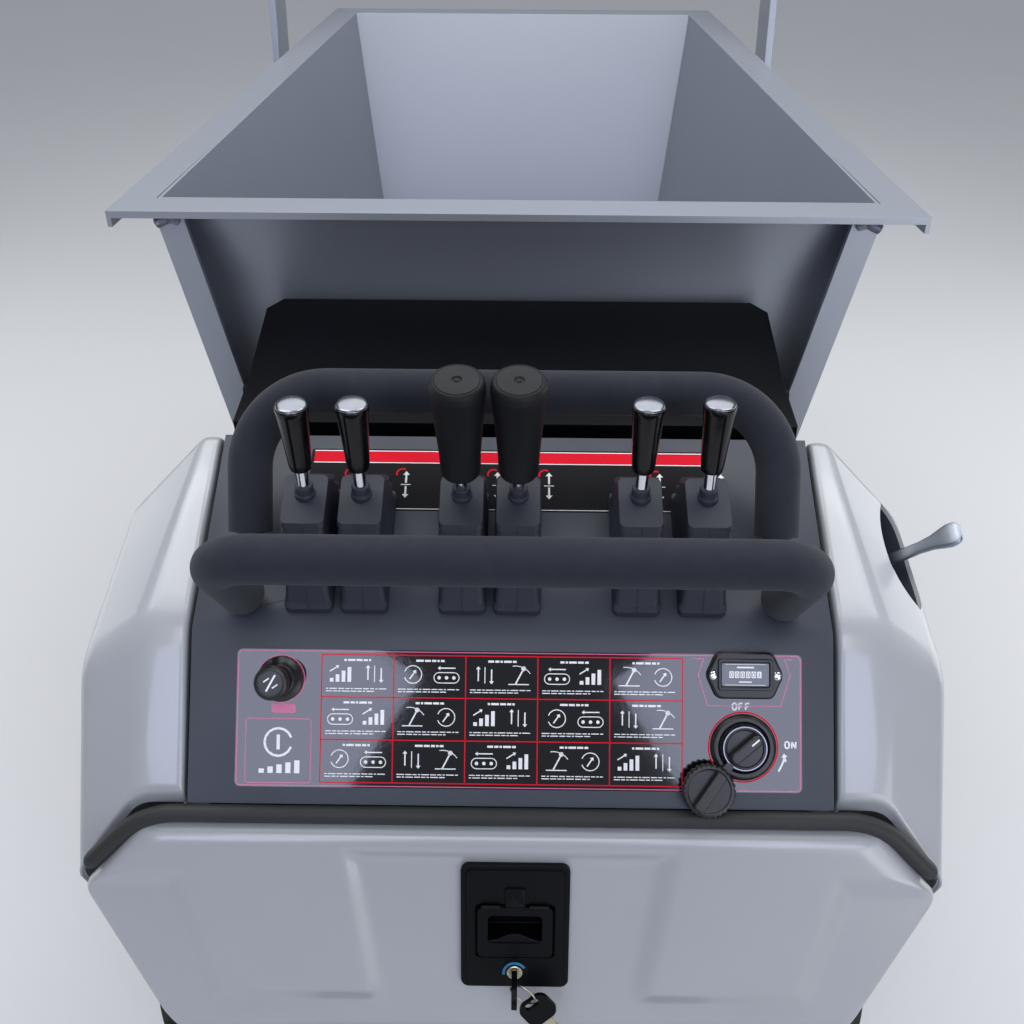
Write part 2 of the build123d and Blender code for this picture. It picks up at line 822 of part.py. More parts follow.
for side in (-1, 1):
    knuckle_x = side * cover_knuckle_x
    knuckle_span = (knuckle_x - cover_knuckle_half, knuckle_x + cover_knuckle_half)
    knuckle = rod_x(cover_hinge, cover_knuckle_radius, *knuckle_span)
    knuckle += side_plate(
        [
            along(cover_hinge, 90, cover_knuckle_radius),
            along(cover_hinge, -90, cover_knuckle_radius),
            (cover_line[2][0] - 3, cover_hinge_z + 2),
            (cover_line[2][0] - 10, cover_hinge_z + 36),
        ],
        *knuckle_span,
    )
    cover += knuckle
    cover -= rod_x(cover_hinge, cover_pin_radius + running_clearance, knuckle_x - 60, knuckle_x + 60)

# Latch on the cover: plate, lifting paddle, lock with its key
latch_x = 6
latch_top = -35
latch_bottom = -168
latch_half = 52
latch_height = 6
paddle_top = -78
paddle_bottom = -132
paddle_half = 36
latch_middle = (latch_top + latch_bottom) / 2
latch_size = (2 * latch_half, latch_top - latch_bottom, latch_height)
plate_body = Pos(0, latch_middle, latch_height / 2) * Box(*latch_size)
plate_body = fillet(plate_body.edges().filter_by(Axis.Z), 8)
paddle_pocket = Pos(0, (paddle_top + paddle_bottom) / 2, 4.5) * Box(
    2 * paddle_half + 2, paddle_top - paddle_bottom + 2, 5
)
lock_y = -150
lock_radius = 10
plate_body -= paddle_pocket
plate_body += Pos(0, -68, latch_height) * Box(20, 18, 6)
recess_y = -102
recess_depth = 26
recess_size = (58, 36)
recess_cup = Pos(0, recess_y, 1 - recess_depth / 2) * Box(*recess_size, recess_depth)
recess_opening = (recess_size[0] - 6, recess_size[1] - 6)
recess_room = Pos(0, recess_y, 3 - recess_depth / 2) * Box(*recess_opening, recess_depth)
plate_body += recess_cup
plate_body -= recess_room
lock_hole = Pos(0, lock_y, 2) * Cylinder(lock_radius - 2.5 + running_clearance, 20)
plate_body += Pos(0, lock_y, latch_height) * Cylinder(lock_radius + 3, 4)
plate_body -= lock_hole
latch_at = cover_face * Pos(latch_x, 0, 0)
pieces["latch_plate"] = latch_at * plate_body
paddle_height = 7
paddle_floor = 2.6
paddle_face = paddle_floor + paddle_height
lift_paddle = Pos(0, (paddle_top + paddle_bottom) / 2, paddle_floor + paddle_height / 2) * Box(
    2 * paddle_half, paddle_top - paddle_bottom, paddle_height
)
lift_paddle = fillet(lift_paddle.edges().filter_by(Axis.Z), 6)
finger_opening = Pos(0, recess_y, 6) * Box(*recess_opening, 20)
finger_opening = fillet(finger_opening.edges().filter_by(Axis.Z), 5)
lift_paddle -= finger_opening
paddle_knuckle_radius = 2.5
paddle_knuckle_length = 18
for side in (-1, 1):
    knuckle_at = Pos(side * (paddle_half - 4 - paddle_knuckle_length / 2), paddle_top, paddle_face)
    lift_paddle += knuckle_at * Rot(0, 90, 0) * Cylinder(paddle_knuckle_radius, paddle_knuckle_length)
pieces["latch_paddle"] = latch_at * lift_paddle
plug = Pos(0, lock_y, 3) * Cylinder(lock_radius - 2.5, 14)
key_head = Pos(0, lock_y, 34) * Rot(0, 90, 0) * extrude(SlotOverall(42, 22), amount=2.7, both=True)
key_blade = Pos(0, lock_y, 12) * Box(2.4, 7, 10)
ring_hole_height = 40
key_hole = Pos(0, lock_y, ring_hole_height) * Rot(0, 90, 0) * Cylinder(4.5, 20)
first_key = plug + key_blade + key_head - key_hole

# The key ring leans out of the latch plane so that it can pass through both keys
ring_radius = 13
ring_wire = 0.9
ring_lean = 35
hang_angle = -60
ring_line = Plane.XY * Pos(1, lock_y - 12.4, ring_hole_height - 3.7) * Rot(0, 0, hang_angle)
key_ring = ring_line * Rot(ring_lean, 0, 0) * Torus(ring_radius, ring_wire)
spare_head = extrude(Pos(9, 0, 0) * RectangleRounded(28, 32, 9), amount=2.5, both=True)
spare_head -= extrude(SlotOverall(16, 6, rotation=90), amount=10, both=True)
spare_head += Pos(35, 0, 0) * Box(28, 8, 2.2)
spare_key = ring_line * Pos(ring_radius, 0, 0) * spare_head
pieces["lock_key"] = group(latch_at * first_key, latch_at * key_ring, latch_at * spare_key)
cover -= latch_at * Pos(0, lock_y, 0) * Cylinder(lock_radius, 24)
cover -= latch_at * Pos(0, recess_y, 0) * Box(recess_size[0] + 1, recess_size[1] + 1, 30)
pieces["rear_cover"] = cover

# Rubber seal between the console, the cowls and the cover
seal_corner = Vector(cover_half_top + 5, panel_bottom_y - 6, cover_line[0][1] + 7)
seal_foot = Vector(cover_half_wide + 6, panel_bottom_y - 31, cover_line[0][1] - 56)
seal_end = seal_corner + (seal_foot - seal_corner) * 0.85
seal_right = [seal_corner, seal_end]
seal_left = [Vector(-point.X, point.Y, point.Z) for point in seal_right]
seal_path = Polyline(*seal_left[::-1], *seal_right)
seal_start = Plane(origin=seal_path @ 0, z_dir=seal_path % 0)
seal_section = seal_start * Circle(seal_radius)
pieces["cover_seal"] = sweep(seal_section, path=seal_path, transition=Transition.RIGHT)

# Skip: tapered open box with a folded rim
skip_rear = [
    (rim_rear_y + rim_width, rim_height),
    (rim_rear_y + skip_fold_back, rim_height - skip_fold_drop),
    (rim_rear_y + skip_foot_back, skip_floor_z),
]
skip_front = [(skip_hinge_y - 90, skip_floor_z), (rim_front_y - rim_width, rim_height)]
skip_line = skip_rear + skip_front
plan_taper = (rim_rear_half_width - rim_front_half_width) / (rim_front_y - rim_rear_y)


def skip_half(y, z):
    """Half the skip's outside width at a height and distance forward."""
    at_rim = rim_rear_half_width - rim_width - plan_taper * (y - rim_rear_y)
    return at_rim - skip_side_lean * (rim_height - z)


def skip_block(line, inset, rise):
    """A tapered block between the two leaning sides of the skip."""
    top = [(line[-1][0] + rise * 0.37, rim_height + rise), (line[0][0] - rise * 0.44, rim_height + rise)]
    outline = list(line) + (top if rise else [])
    body = side_plate(outline, -600, 600)
    keep_points = []
    for y in (rim_rear_y - 100, rim_front_y + 100):
        keep_points.append((y, skip_half(y, 0) - inset, skip_half(y, rim_height + 200) - inset))
    faces = []
    for y, low, high in keep_points:
        section = [(-low, 0), (low, 0), (high, rim_height + 200), (-high, rim_height + 200)]
        faces.append(Plane.XZ.offset(-y) * Polygon(*section, align=None))
    return body & loft(faces, ruled=True)


inner_line = beside(skip_line, skip_wall)
skip = skip_block(skip_line, 0, 0) - skip_block(inner_line, skip_wall, 30)
rear_half = rim_rear_half_width
front_half = rim_front_half_width
rim_outline = [
    (-rear_half, rim_rear_y),
    (rear_half, rim_rear_y),
    (front_half, rim_front_y),
    (-front_half, rim_front_y),
]
opening = [
    (-(rear_half - rim_width - 2), rim_rear_y + rim_width + 2),
    (rear_half - rim_width - 2, rim_rear_y + rim_width + 2),
    (front_half - rim_width - 2, rim_front_y - rim_width - 2),
    (-(front_half - rim_width - 2), rim_front_y - rim_width - 2),
]
rim_sheet = 5
skip += plan_plate(rim_outline, rim_height - rim_sheet, rim_height) - plan_plate(
    opening, rim_height - rim_sheet - 1, rim_height + 1
)
lip_plan = [
    (rear_half - rim_sheet, rim_rear_y),
    (rear_half, rim_rear_y),
    (front_half, rim_front_y),
    (front_half - rim_sheet, rim_front_y),
]
lip = plan_plate(lip_plan, rim_height - rim_lip, rim_height - rim_sheet + 1)
skip += lip + mirrored(lip)
skip += block(-rear_half, rear_half, rim_rear_y, rim_rear_y + rim_sheet, rim_height - 8, rim_height)
lip_bottom = rim_height - rim_lip
skip += block(-front_half, front_half, rim_front_y - rim_sheet, rim_front_y, lip_bottom, rim_height)

# Rear corner posts of the skip, folded in from cheeks behind the rear wall
post_top = (rim_rear_y + 22, rim_height - 2)
post_bottom = (rim_rear_y + 40, skip_floor_z + 60)
cheek_outline = [
    post_top,
    post_bottom,
    (rim_rear_y + 110, skip_floor_z + 10),
    (rim_rear_y + 100, rim_height - 110),
    (rim_rear_y + rim_width + 8, rim_height - 2),
]
wide = skip_block(cheek_outline, 0, 0)
narrow = skip_block(cheek_outline, skip_wall, 0)
skip += wide - narrow
post_outline = [post_top, post_bottom, along(post_bottom, 0, 6), along(post_top, 0, 6)]
post_wide = skip_block(post_outline, 0, 0)
post_narrow = skip_block(post_outline, 31, 0)
skip += post_wide - post_narrow

# Skip underside: hinge lugs, pins and the tipping lug
skip_hinge = (skip_hinge_y, skip_hinge_z)
hinge_lug_x = 170
hinge_lug = 14
lug_outline = [
    (skip_hinge_y - 190, skip_floor_z + 1),
    (skip_hinge_y - 89, skip_floor_z + 1),
    (skip_hinge_y - 67, skip_floor_z + 60),
    along(skip_hinge, 40, 28),
    along(skip_hinge, -20, 28),
    along(skip_hinge, -80, 28),
]
hinge_plate = side_plate(lug_outline, hinge_lug_x, hinge_lug_x + hinge_lug)
hinge_plate += rod_x(skip_hinge, skip_pin_radius, hinge_lug_x - 24, hinge_lug_x + hinge_lug)
skip += hinge_plate + mirrored(hinge_plate)
tip_lug = side_plate(
    [
        (tip_eye[0] - 40, skip_floor_z + 1),
        (tip_eye[0] + 40, skip_floor_z + 1),
        along(tip_eye, -40, 22),
        along(tip_eye, -140, 22),
    ],
    tip_eye_half + air_gap,
    tip_eye_half + air_gap + 12,
)
skip += tip_lug + mirrored(tip_lug)
pieces["skip"] = skip

# Loader arms: two plates on one torque tube
arm_pivot = (arm_pivot_y, arm_pivot_z)
arm_elbow = (arm_elbow_y, arm_elbow_z)
shovel_pivot = (shovel_pivot_y, shovel_pivot_z)
arm_outer_x = arm_inner_x + arm_thickness
arm_band = strip([arm_pivot, arm_elbow, shovel_pivot], arm_depth / 2)
arm_plate = side_plate(arm_band, arm_inner_x, arm_outer_x)
arm_plate += rod_x(arm_pivot, 62, arm_inner_x, arm_outer_x)
arm_plate += rod_x(shovel_pivot, 48, arm_inner_x, arm_outer_x)
arm_plate -= rod_x(shovel_pivot, trunnion_radius + running_clearance, arm_inner_x - 1, arm_outer_x + 1)
ram_inner_x = ram_x - cylinder_eye_width / 2
ram_outer_x = ram_x + cylinder_eye_width / 2
pin_boss_x = arm_outer_x + side_gap + 12
arm_plate += rod_x(lift_eye, cylinder_eye_radius, arm_outer_x, pin_boss_x)
arm_plate += rod_x(crowd_base, cylinder_pin_radius, arm_outer_x, ram_outer_x + 4)
arm_plate += rod_x(crowd_base, cylinder_eye_radius, arm_outer_x, pin_boss_x)
arms = arm_plate + mirrored(arm_plate)
arms += rod_x(arm_pivot, torque_tube_radius, -arm_inner_x, arm_inner_x)
arms -= rod_x(arm_pivot, torque_tube_radius - torque_tube_wall, -arm_inner_x + 10, arm_inner_x - 10)
pieces["loader_arms"] = arms


def heading(start, end):
    """The angle up from forward of the line between two side-view points."""
    return degrees(atan2(end[1] - start[1], end[0] - start[0]))


def ram_plane(x, start, end):
    """A plane at a cylinder's base with Z running towards its eye."""
    angle = heading(start, end)
    return leaning_plane(x, start, angle - 90)


def barrel(x, start, end, length, radius, bore, eye_half):
    """A cylinder barrel with an eye on its base pin and an open gland."""
    plane = ram_plane(x, start, end)
    neck = cylinder_eye_radius - 6
    body = plane * Pos(0, 0, (length + neck) / 2) * Cylinder(radius, length - neck)
    body += rod_x(start, cylinder_eye_radius, x - eye_half, x + eye_half)
    body -= rod_x(start, cylinder_pin_radius + running_clearance, x - 60, x + 60)
    bore_start = cylinder_eye_radius + 8
    bore_place = plane * Pos(0, 0, (length + bore_start) / 2 + 1)
    body -= bore_place * Cylinder(bore + running_clearance, length - bore_start + 2)
    return body


def piston_rod(x, start, end, inside, radius, eye_half):
    """A piston rod with an eye at its free end; its pin stops short of the lug."""
    reach = hypot(end[0] - start[0], end[1] - start[1])
    plane = ram_plane(x, start, end)
    body = plane * Pos(0, 0, (inside + reach) / 2) * Cylinder(radius, reach - inside)
    body += rod_x(end, cylinder_eye_radius, x - eye_half, x + eye_half)
    return body


eye_half = cylinder_eye_width / 2
lift_barrel_length = 262
lift_barrel = barrel(
    ram_x, lift_base, lift_eye, lift_barrel_length, lift_barrel_radius, lift_rod_radius, eye_half
)
lift_rod_start = 110
lift_rod = piston_rod(ram_x, lift_base, lift_eye, lift_rod_start, lift_rod_radius, eye_half)
lift_rod += rod_x(lift_eye, cylinder_pin_radius, pin_boss_x + air_gap, ram_outer_x + 4)
pieces["lift_barrels"] = both_sides(lift_barrel)
pieces["lift_rods"] = both_sides(lift_rod)
crowd_barrel_length = 222
crowd_barrel = barrel(
    ram_x, crowd_base, crowd_eye, crowd_barrel_length, crowd_barrel_radius, crowd_rod_radius, eye_half
)
crowd_rod_start = 80
crowd_rod = piston_rod(
    ram_x, crowd_base, crowd_eye, crowd_rod_start, crowd_rod_radius, eye_half
)
crowd_rod += rod_x(crowd_eye, cylinder_pin_radius, pin_boss_x + air_gap, ram_outer_x + 4)
pieces["crowd_barrels"] = both_sides(crowd_barrel)
pieces["crowd_rods"] = both_sides(crowd_rod)
tip_barrel_length = 340
pieces["tip_barrel"] = barrel(
    0, tip_base, tip_eye, tip_barrel_length, tip_barrel_radius, tip_rod_radius, tip_base_half
)
tip_rod_start = 50
pieces["tip_rod"] = piston_rod(
    0, tip_base, tip_eye, tip_rod_start, tip_rod_radius, tip_eye_half
)

# Shovel between the arms, on two trunnions with crank plates outside the arms
shovel_pivot_height = 155
shovel_back = 62
shovel_depth = 430
shovel_back_top = 130


def on_shovel(forward, up):
    """A side-view point of the shovel, from its pivot along its floor and up from it."""
    point = along(shovel_pivot, shovel_rest_angle, forward)
    return along(point, shovel_rest_angle + 90, up)


shovel_side_outline = [
    on_shovel(-52, -20),
    on_shovel(-20, -52),
    on_shovel(shovel_back, -shovel_pivot_height),
    on_shovel(shovel_depth, -shovel_pivot_height),
    on_shovel(shovel_depth - 50, -shovel_pivot_height + 60),
    on_shovel(shovel_back, shovel_back_top),
    on_shovel(-20, 52),
    on_shovel(-52, 20),
]
side_outer = shovel_half_width
side_inner = shovel_half_width - shovel_plate
shovel_side = side_plate(shovel_side_outline, side_inner, side_outer)
shovel_side += rod_x(shovel_pivot, trunnion_radius, side_inner, arm_outer_x + side_gap + 12)
crank_inner = arm_outer_x + side_gap
crank = strip([shovel_pivot, crowd_eye], 30)
shovel_side += side_plate(crank, crank_inner, crank_inner + 12)
shovel_side += rod_x(shovel_pivot, 34, crank_inner, crank_inner + 12)
shovel_side += rod_x(crowd_eye, 30, crank_inner, crank_inner + 12)
shovel_shell = [
    on_shovel(shovel_back, shovel_back_top),
    on_shovel(shovel_back, -shovel_pivot_height),
    on_shovel(shovel_depth, -shovel_pivot_height),
]
shell_outline = shovel_shell + beside(shovel_shell, shovel_plate)[::-1]
shovel = shovel_side + mirrored(shovel_side) + side_plate(shell_outline, -side_inner, side_inner)
edge_outline = [
    on_shovel(shovel_depth - 70, -shovel_pivot_height),
    on_shovel(shovel_depth + 24, -shovel_pivot_height),
    on_shovel(shovel_depth, -shovel_pivot_height + shovel_plate + 8),
    on_shovel(shovel_depth - 70, -shovel_pivot_height + shovel_plate + 8),
]
shovel += side_plate(edge_outline, -side_outer, side_outer)
pieces["shovel"] = shovel

# Tracks: a rubber belt around the wheels, with staggered lugs
track_middle_x = belt_inner_x + belt_width / 2
wheel_centres = [((sprocket_y, sprocket_z), wheel_path_radius), ((idler_y, idler_z), wheel_path_radius)]
roller_z = belt_carcass + belt_lug + roller_path_radius
wheel_centres += [((y, roller_z), roller_path_radius) for y in roller_ys]
wheel_edges = [(Pos(*centre) * Circle(radius)).edge() for centre, radius in wheel_centres]
belt_inside = make_hull(wheel_edges)
belt_outside = offset(belt_inside, amount=belt_carcass)
belt_profile = Plane.YZ.offset(belt_inner_x) * (belt_outside - belt_inside)
belt = extrude(belt_profile, amount=belt_width, dir=(1, 0, 0))
belt_wire = belt_outside.faces()[0].outer_wire()
lug_count = 2 * round(belt_wire.length / 150)
lugs = []
for i in range(lug_count):
    at = belt_wire @ (i / lug_count)
    direction = belt_wire % (i / lug_count)
    angle = degrees(atan2(direction.Y, direction.X))
    lug_x = belt_inner_x + (52 if i % 2 else belt_width - 52)
    tread = Pos(lug_x, at.X, at.Y) * Rot(angle, 0, 0) * Box(100, 34, 2 * belt_lug)
    lugs.append(tread)
lug_outside = offset(belt_inside, amount=belt_carcass + belt_lug)
lug_face = Plane.YZ.offset(belt_inner_x) * (lug_outside - belt_outside)
lug_room = extrude(lug_face, amount=belt_width, dir=(1, 0, 0))
belt = belt + [lug & lug_room for lug in lugs]
pieces["right_belt"] = belt
pieces["left_belt"] = mirrored(belt)

# Sprockets with teeth, driven by hydraulic motors
tooth_count = 11
tooth_tip = wheel_path_radius - wheel_clearance
tooth_root = tooth_tip - 26
tooth_points = []
for i in range(tooth_count):
    for turn, radius in ((-0.38, tooth_root), (-0.17, tooth_tip), (0.17, tooth_tip), (0.38, tooth_root)):
        angle = 2 * 180 * (i + turn) / tooth_count
        tooth_points.append(along((sprocket_y, sprocket_z), angle, radius))
wheel_from = track_middle_x - wheel_width / 2
wheel_to = track_middle_x + wheel_width / 2
sprocket_at = (sprocket_y, sprocket_z)
sprocket = side_plate(tooth_points, wheel_from + 5, wheel_to - 5)
sprocket += rod_x(sprocket_at, 52, wheel_from, wheel_to)
sprocket -= rod_x(sprocket_at, motor_shaft_radius + running_clearance, wheel_from - 1, wheel_to + 1)
pieces["right_sprocket"] = sprocket
pieces["left_sprocket"] = mirrored(sprocket)
plate_gap = wheel_width / 2 + 2
plate_from = track_middle_x - plate_gap - track_plate
motor = rod_x(sprocket_at, 55, 170, plate_from)
motor += rod_x(sprocket_at, 70, plate_from - 14, plate_from)
motor += rod_x(sprocket_at, motor_shaft_radius, 200, wheel_to + 8)
motor += rod_x(sprocket_at, 40, wheel_to + 3, wheel_to + 12)
pieces["travel_motors"] = both_sides(motor)

# Idlers and rollers, each with a groove between two treads
def wheel(centre, radius):
    """A grooved wheel that turns on the axle through its centre."""
    body = rod_x(centre, radius - wheel_clearance, wheel_from, wheel_to)
    groove = rod_x(centre, radius, track_middle_x - 9, track_middle_x + 9)
    body -= groove - rod_x(centre, radius * 0.8, track_middle_x - 9, track_middle_x + 9)
    for x_from, x_to in ((wheel_from - 1, wheel_from + 8), (wheel_to - 8, wheel_to + 1)):
        body -= rod_x(centre, radius * 0.7, x_from, x_to) - rod_x(centre, axle_radius + 12, x_from, x_to)
    return body - rod_x(centre, axle_radius + running_clearance, wheel_from - 1, wheel_to + 1)


idler_at = (idler_y, idler_z)
idler = wheel(idler_at, wheel_path_radius)
pieces["right_idler"] = idler
pieces["left_idler"] = mirrored(idler)
for number, y in enumerate(roller_ys, start=1):
    roller = wheel((y, roller_z), roller_path_radius)
    pieces[f"right_roller_{number}"] = roller
    pieces[f"left_roller_{number}"] = mirrored(roller)

# Track frames: two plates and a beam, with the wheel axles
frame_top = 300
frame_low = 78
inner_outline = [
    along(sprocket_at, 200, 78),
    along(sprocket_at, 100, 78),
    (760, frame_top),
    (1640, frame_top),
    along(idler_at, 70, 34),
    along(idler_at, -60, 34),
    (1620, frame_low),
    (800, frame_low),
    along(sprocket_at, 260, 78),
]
outer_outline = [
    (800, frame_top),
    (1640, frame_top),
    along(idler_at, 70, 34),
    along(idler_at, -60, 34),
    (1620, frame_low),
    (800, frame_low),
]
inner_plate = side_plate(inner_outline, plate_from, plate_from + track_plate)
inner_plate -= rod_x(sprocket_at, motor_shaft_radius + 6, 200, 400)
beam_from = track_middle_x - plate_gap - 1
beam_to = track_middle_x + plate_gap + 1
beam_wall = 6
outer_plate = side_plate(outer_outline, beam_to - 1, beam_to - 1 + track_plate)
track_frame = inner_plate + outer_plate
track_frame += block(beam_from, beam_to, 800, 1590, frame_top - beam_wall, frame_top)
track_frame += block(beam_from, beam_to, 800, 1590, frame_top - 90, frame_top - 90 + beam_wall)
for centre in [(y, roller_z) for y in roller_ys] + [idler_at]:
    track_frame += rod_x(centre, axle_radius, beam_from, beam_to)
cross_axle_ys = [980, 1480]
cross_axle_z = 240
cross_axle_radius = 36
for y in cross_axle_ys:
    track_frame += rod_x((y, cross_axle_z), cross_axle_radius, rail_outer_x, beam_from)
pieces["track_frames"] = both_sides(track_frame)

# Chassis: two rails, cross members, legs to the track frames and the pivot brackets
chassis = block(rail_inner_x, rail_outer_x, rail_rear_y, rail_front_y, rail_bottom_z, rail_top_z)
chassis -= block(
    rail_inner_x + rail_wall,
    rail_outer_x - rail_wall,
    rail_rear_y - 1,
    rail_front_y + 1,
    rail_bottom_z + rail_wall,
    rail_top_z - rail_wall,
)
leg_bottom = cross_axle_z - 50
for y in cross_axle_ys:
    chassis += block(rail_outer_x - 20, rail_outer_x, y - 60, y + 60, leg_bottom, rail_bottom_z + 1)
bearing_x = arm_inner_x - side_gap - 26
bearing_plate = [
    (arm_pivot_y - 85, rail_top_z - 35),
    (arm_pivot_y + 55, rail_top_z - 35),
    along(arm_pivot, 0, 46),
    along(arm_pivot, 45, 46),
    along(arm_pivot, 90, 46),
    along(arm_pivot, 135, 46),
]
outrigger_y = (arm_pivot_y - 85, arm_pivot_y + 55)
outrigger_top = arm_pivot_z - 75
outrigger_bottom = rail_top_z - 35
chassis += block(rail_outer_x - 1, pin_boss_x, *outrigger_y, outrigger_bottom, outrigger_top)
bearing = side_plate(bearing_plate, bearing_x, bearing_x + 26)
bearing -= rod_x(arm_pivot, torque_tube_radius + running_clearance, bearing_x - 1, bearing_x + 27)
chassis += bearing
bracket = [
    (outrigger_y[0], outrigger_bottom + 10),
    (outrigger_y[1], outrigger_bottom + 10),
    along(lift_base, 20, 26),
    along(lift_base, 60, 26),
    along(lift_base, 120, 26),
    along(lift_base, 160, 26),
]
bracket_x = arm_outer_x + side_gap
chassis += side_plate(bracket, bracket_x, pin_boss_x)
chassis += rod_x(lift_base, cylinder_pin_radius, bracket_x, ram_outer_x + 6)
hinge_bracket = [
    (skip_hinge_y - 50, rail_top_z - 40),
    (skip_hinge_y + 28, rail_top_z - 40),
    along(skip_hinge, 0, 28),
    along(skip_hinge, 60, 28),
    along(skip_hinge, 120, 28),
    along(skip_hinge, 180, 28),
]
bracket_to = hinge_lug_x - air_gap
hinge_plate = side_plate(hinge_bracket, bracket_to - 22, bracket_to)
hinge_plate -= rod_x(skip_hinge, skip_pin_radius + running_clearance, bracket_to - 30, bracket_to + 10)
chassis += hinge_plate
chassis += block(rail_inner_x, rail_outer_x, 990, 1050, rail_top_z - 1, skip_floor_z - air_gap)
step_hinge = (step_hinge_y, step_hinge_z)
step_arm_width = 16
step_arm_depth = 40
step_eye_radius = 22
step_bracket = [
    (rail_rear_y + 10, rail_bottom_z + step_arm_depth),
    (rail_rear_y + 10, rail_bottom_z),
    along(step_hinge, -90, step_eye_radius),
    along(step_hinge, 180, step_eye_radius),
    along(step_hinge, 120, step_eye_radius),
    along(step_hinge, 60, step_eye_radius),
    (rail_rear_y - step_arm_depth, rail_bottom_z + step_arm_depth),
]
step_arm = side_plate(step_bracket, rail_inner_x, rail_inner_x + step_arm_width)
step_arm += rod_x(
    step_hinge, step_pin_radius, rail_inner_x - step_eye_radius, rail_inner_x + step_arm_width
)
chassis += step_arm
cover_post_x = (cover_knuckle_x + cover_knuckle_half + 6, cover_knuckle_x + cover_knuckle_half + 16)
cover_post = side_plate(
    [
        (rail_rear_y + 2, rail_top_z - 40),
        (rail_rear_y + 2, rail_top_z - 2),
        along(cover_hinge, 60, 12),
        along(cover_hinge, 150, 12),
        along(cover_hinge, -120, 12),
    ],
    *cover_post_x,
)
cover_post += rod_x(
    cover_hinge, cover_pin_radius, cover_knuckle_x - cover_knuckle_half - air_gap, cover_post_x[1]
)
chassis += cover_post
chassis = chassis + mirrored(chassis)
cross_members = [(430, 490), (1100, 1160), (1230, 1300), (1810, 1870)]
for y_from, y_to in cross_members:
    chassis += block(-rail_inner_x - 1, rail_inner_x + 1, y_from, y_to, rail_bottom_z, rail_top_z - 20)
tip_bracket = [
    (1230, rail_bottom_z + 40),
    (1300, rail_bottom_z + 40),
    along(tip_base, 0, 30),
    along(tip_base, -90, 30),
    along(tip_base, 180, 30),
]
tip_room = tip_base_half + air_gap
chassis -= block(-tip_room, tip_room, 1200, 1330, rail_bottom_z - 60, rail_top_z + 10)
for side in (-1, 1):
    near = side * tip_room
    far = side * (tip_room + 16)
    chassis += side_plate(tip_bracket, min(near, far), max(near, far))
chassis += rod_x(tip_base, cylinder_pin_radius, -tip_room - 14, tip_room + 14)
pieces["chassis_frame"] = chassis

# Folding step for the operator
step_half = step_width / 2
step_front = step_hinge_y - 24
step_top = step_hinge_z + 2
step_skirt = step_hinge_z - 34
step = block(-step_half, step_half, 0, step_front, step_top - step_thickness, step_top)
step += block(-step_half, step_half, 0, 6, step_skirt, step_top)
for x in (-step_half, step_half - 6):
    step += block(x, x + 6, 0, step_front, step_skirt, step_top)
for row in range(5):
    for column in range(9):
        ridge = Rot(0, 0, 45 if (row + column) % 2 else -45) * Box(26, 6, 3)
        step += Pos(-208 + 52 * column, 36 + 48 * row, step_hinge_z + 3) * ridge
for side in (-1, 1):
    lug_from = min(side * (rail_inner_x - 20), side * (rail_inner_x - 2))
    lug = rod_x(step_hinge, 20, lug_from, lug_from + 18)
    lug += block(lug_from, lug_from + 18, step_hinge_y - 60, step_hinge_y, step_hinge_z - 20, step_top - 5)
    lug -= rod_x(step_hinge, step_pin_radius + running_clearance, lug_from - 1, lug_from + 19)
    step += lug
pieces["step_platform"] = step

# Centre the machine on its footprint and write one file per piece
boxes = [piece.bounding_box() for piece in pieces.values()]
middle_y = (min(box.min.Y for box in boxes) + max(box.max.Y for box in boxes)) / 2
os.makedirs("parts", exist_ok=True)
for name, piece in pieces.items():
    export_step(Pos(0, -middle_y, 0) * piece, f"parts/{name}.step")
print(f"{len(pieces)} pieces, moved {-middle_y:.3f} mm along Y")
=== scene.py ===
# %% [markdown]
# A tracked mini dumper, dressed for a studio picture. The CAD model gives every piece its place
# and size, in metres. This notebook gives the pieces their surfaces, rebuilds the ones that need
# finer curves, and sets up floor, light and camera.

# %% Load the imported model
import json
from math import cos, pi, radians, sin

import bpy
from mathutils import Matrix, Vector


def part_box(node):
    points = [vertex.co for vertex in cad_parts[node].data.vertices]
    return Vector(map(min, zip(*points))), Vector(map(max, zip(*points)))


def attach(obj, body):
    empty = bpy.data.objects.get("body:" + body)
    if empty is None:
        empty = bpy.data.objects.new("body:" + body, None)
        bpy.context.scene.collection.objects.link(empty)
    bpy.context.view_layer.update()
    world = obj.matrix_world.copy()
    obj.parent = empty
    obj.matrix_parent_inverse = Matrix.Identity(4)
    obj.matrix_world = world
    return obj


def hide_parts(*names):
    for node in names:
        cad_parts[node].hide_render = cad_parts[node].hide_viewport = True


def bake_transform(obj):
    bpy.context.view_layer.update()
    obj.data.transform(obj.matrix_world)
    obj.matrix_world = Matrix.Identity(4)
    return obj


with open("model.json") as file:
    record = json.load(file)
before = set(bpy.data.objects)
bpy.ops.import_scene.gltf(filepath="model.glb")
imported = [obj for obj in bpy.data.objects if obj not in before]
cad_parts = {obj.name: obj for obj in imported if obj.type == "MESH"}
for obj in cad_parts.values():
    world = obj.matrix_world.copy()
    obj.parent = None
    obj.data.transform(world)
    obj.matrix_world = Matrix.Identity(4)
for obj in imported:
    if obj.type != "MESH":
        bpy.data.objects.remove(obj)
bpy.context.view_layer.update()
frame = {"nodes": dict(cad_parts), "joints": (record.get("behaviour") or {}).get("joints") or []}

nodes = frame["nodes"]
joints = {joint["name"]: joint for joint in frame["joints"]}

# %% [markdown]
# Places are written as on the maker's drawing: millimetres, with Y counted forward from the rear
# edge of the step. A small matrix turns such a place into metres in the model's own frame. A
# sloping face gets a frame of its own, so that what lies on it can be drawn as on a flat sheet.

# %% Frames to draw in
MM = 0.001
rear_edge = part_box("step_platform")[0].y


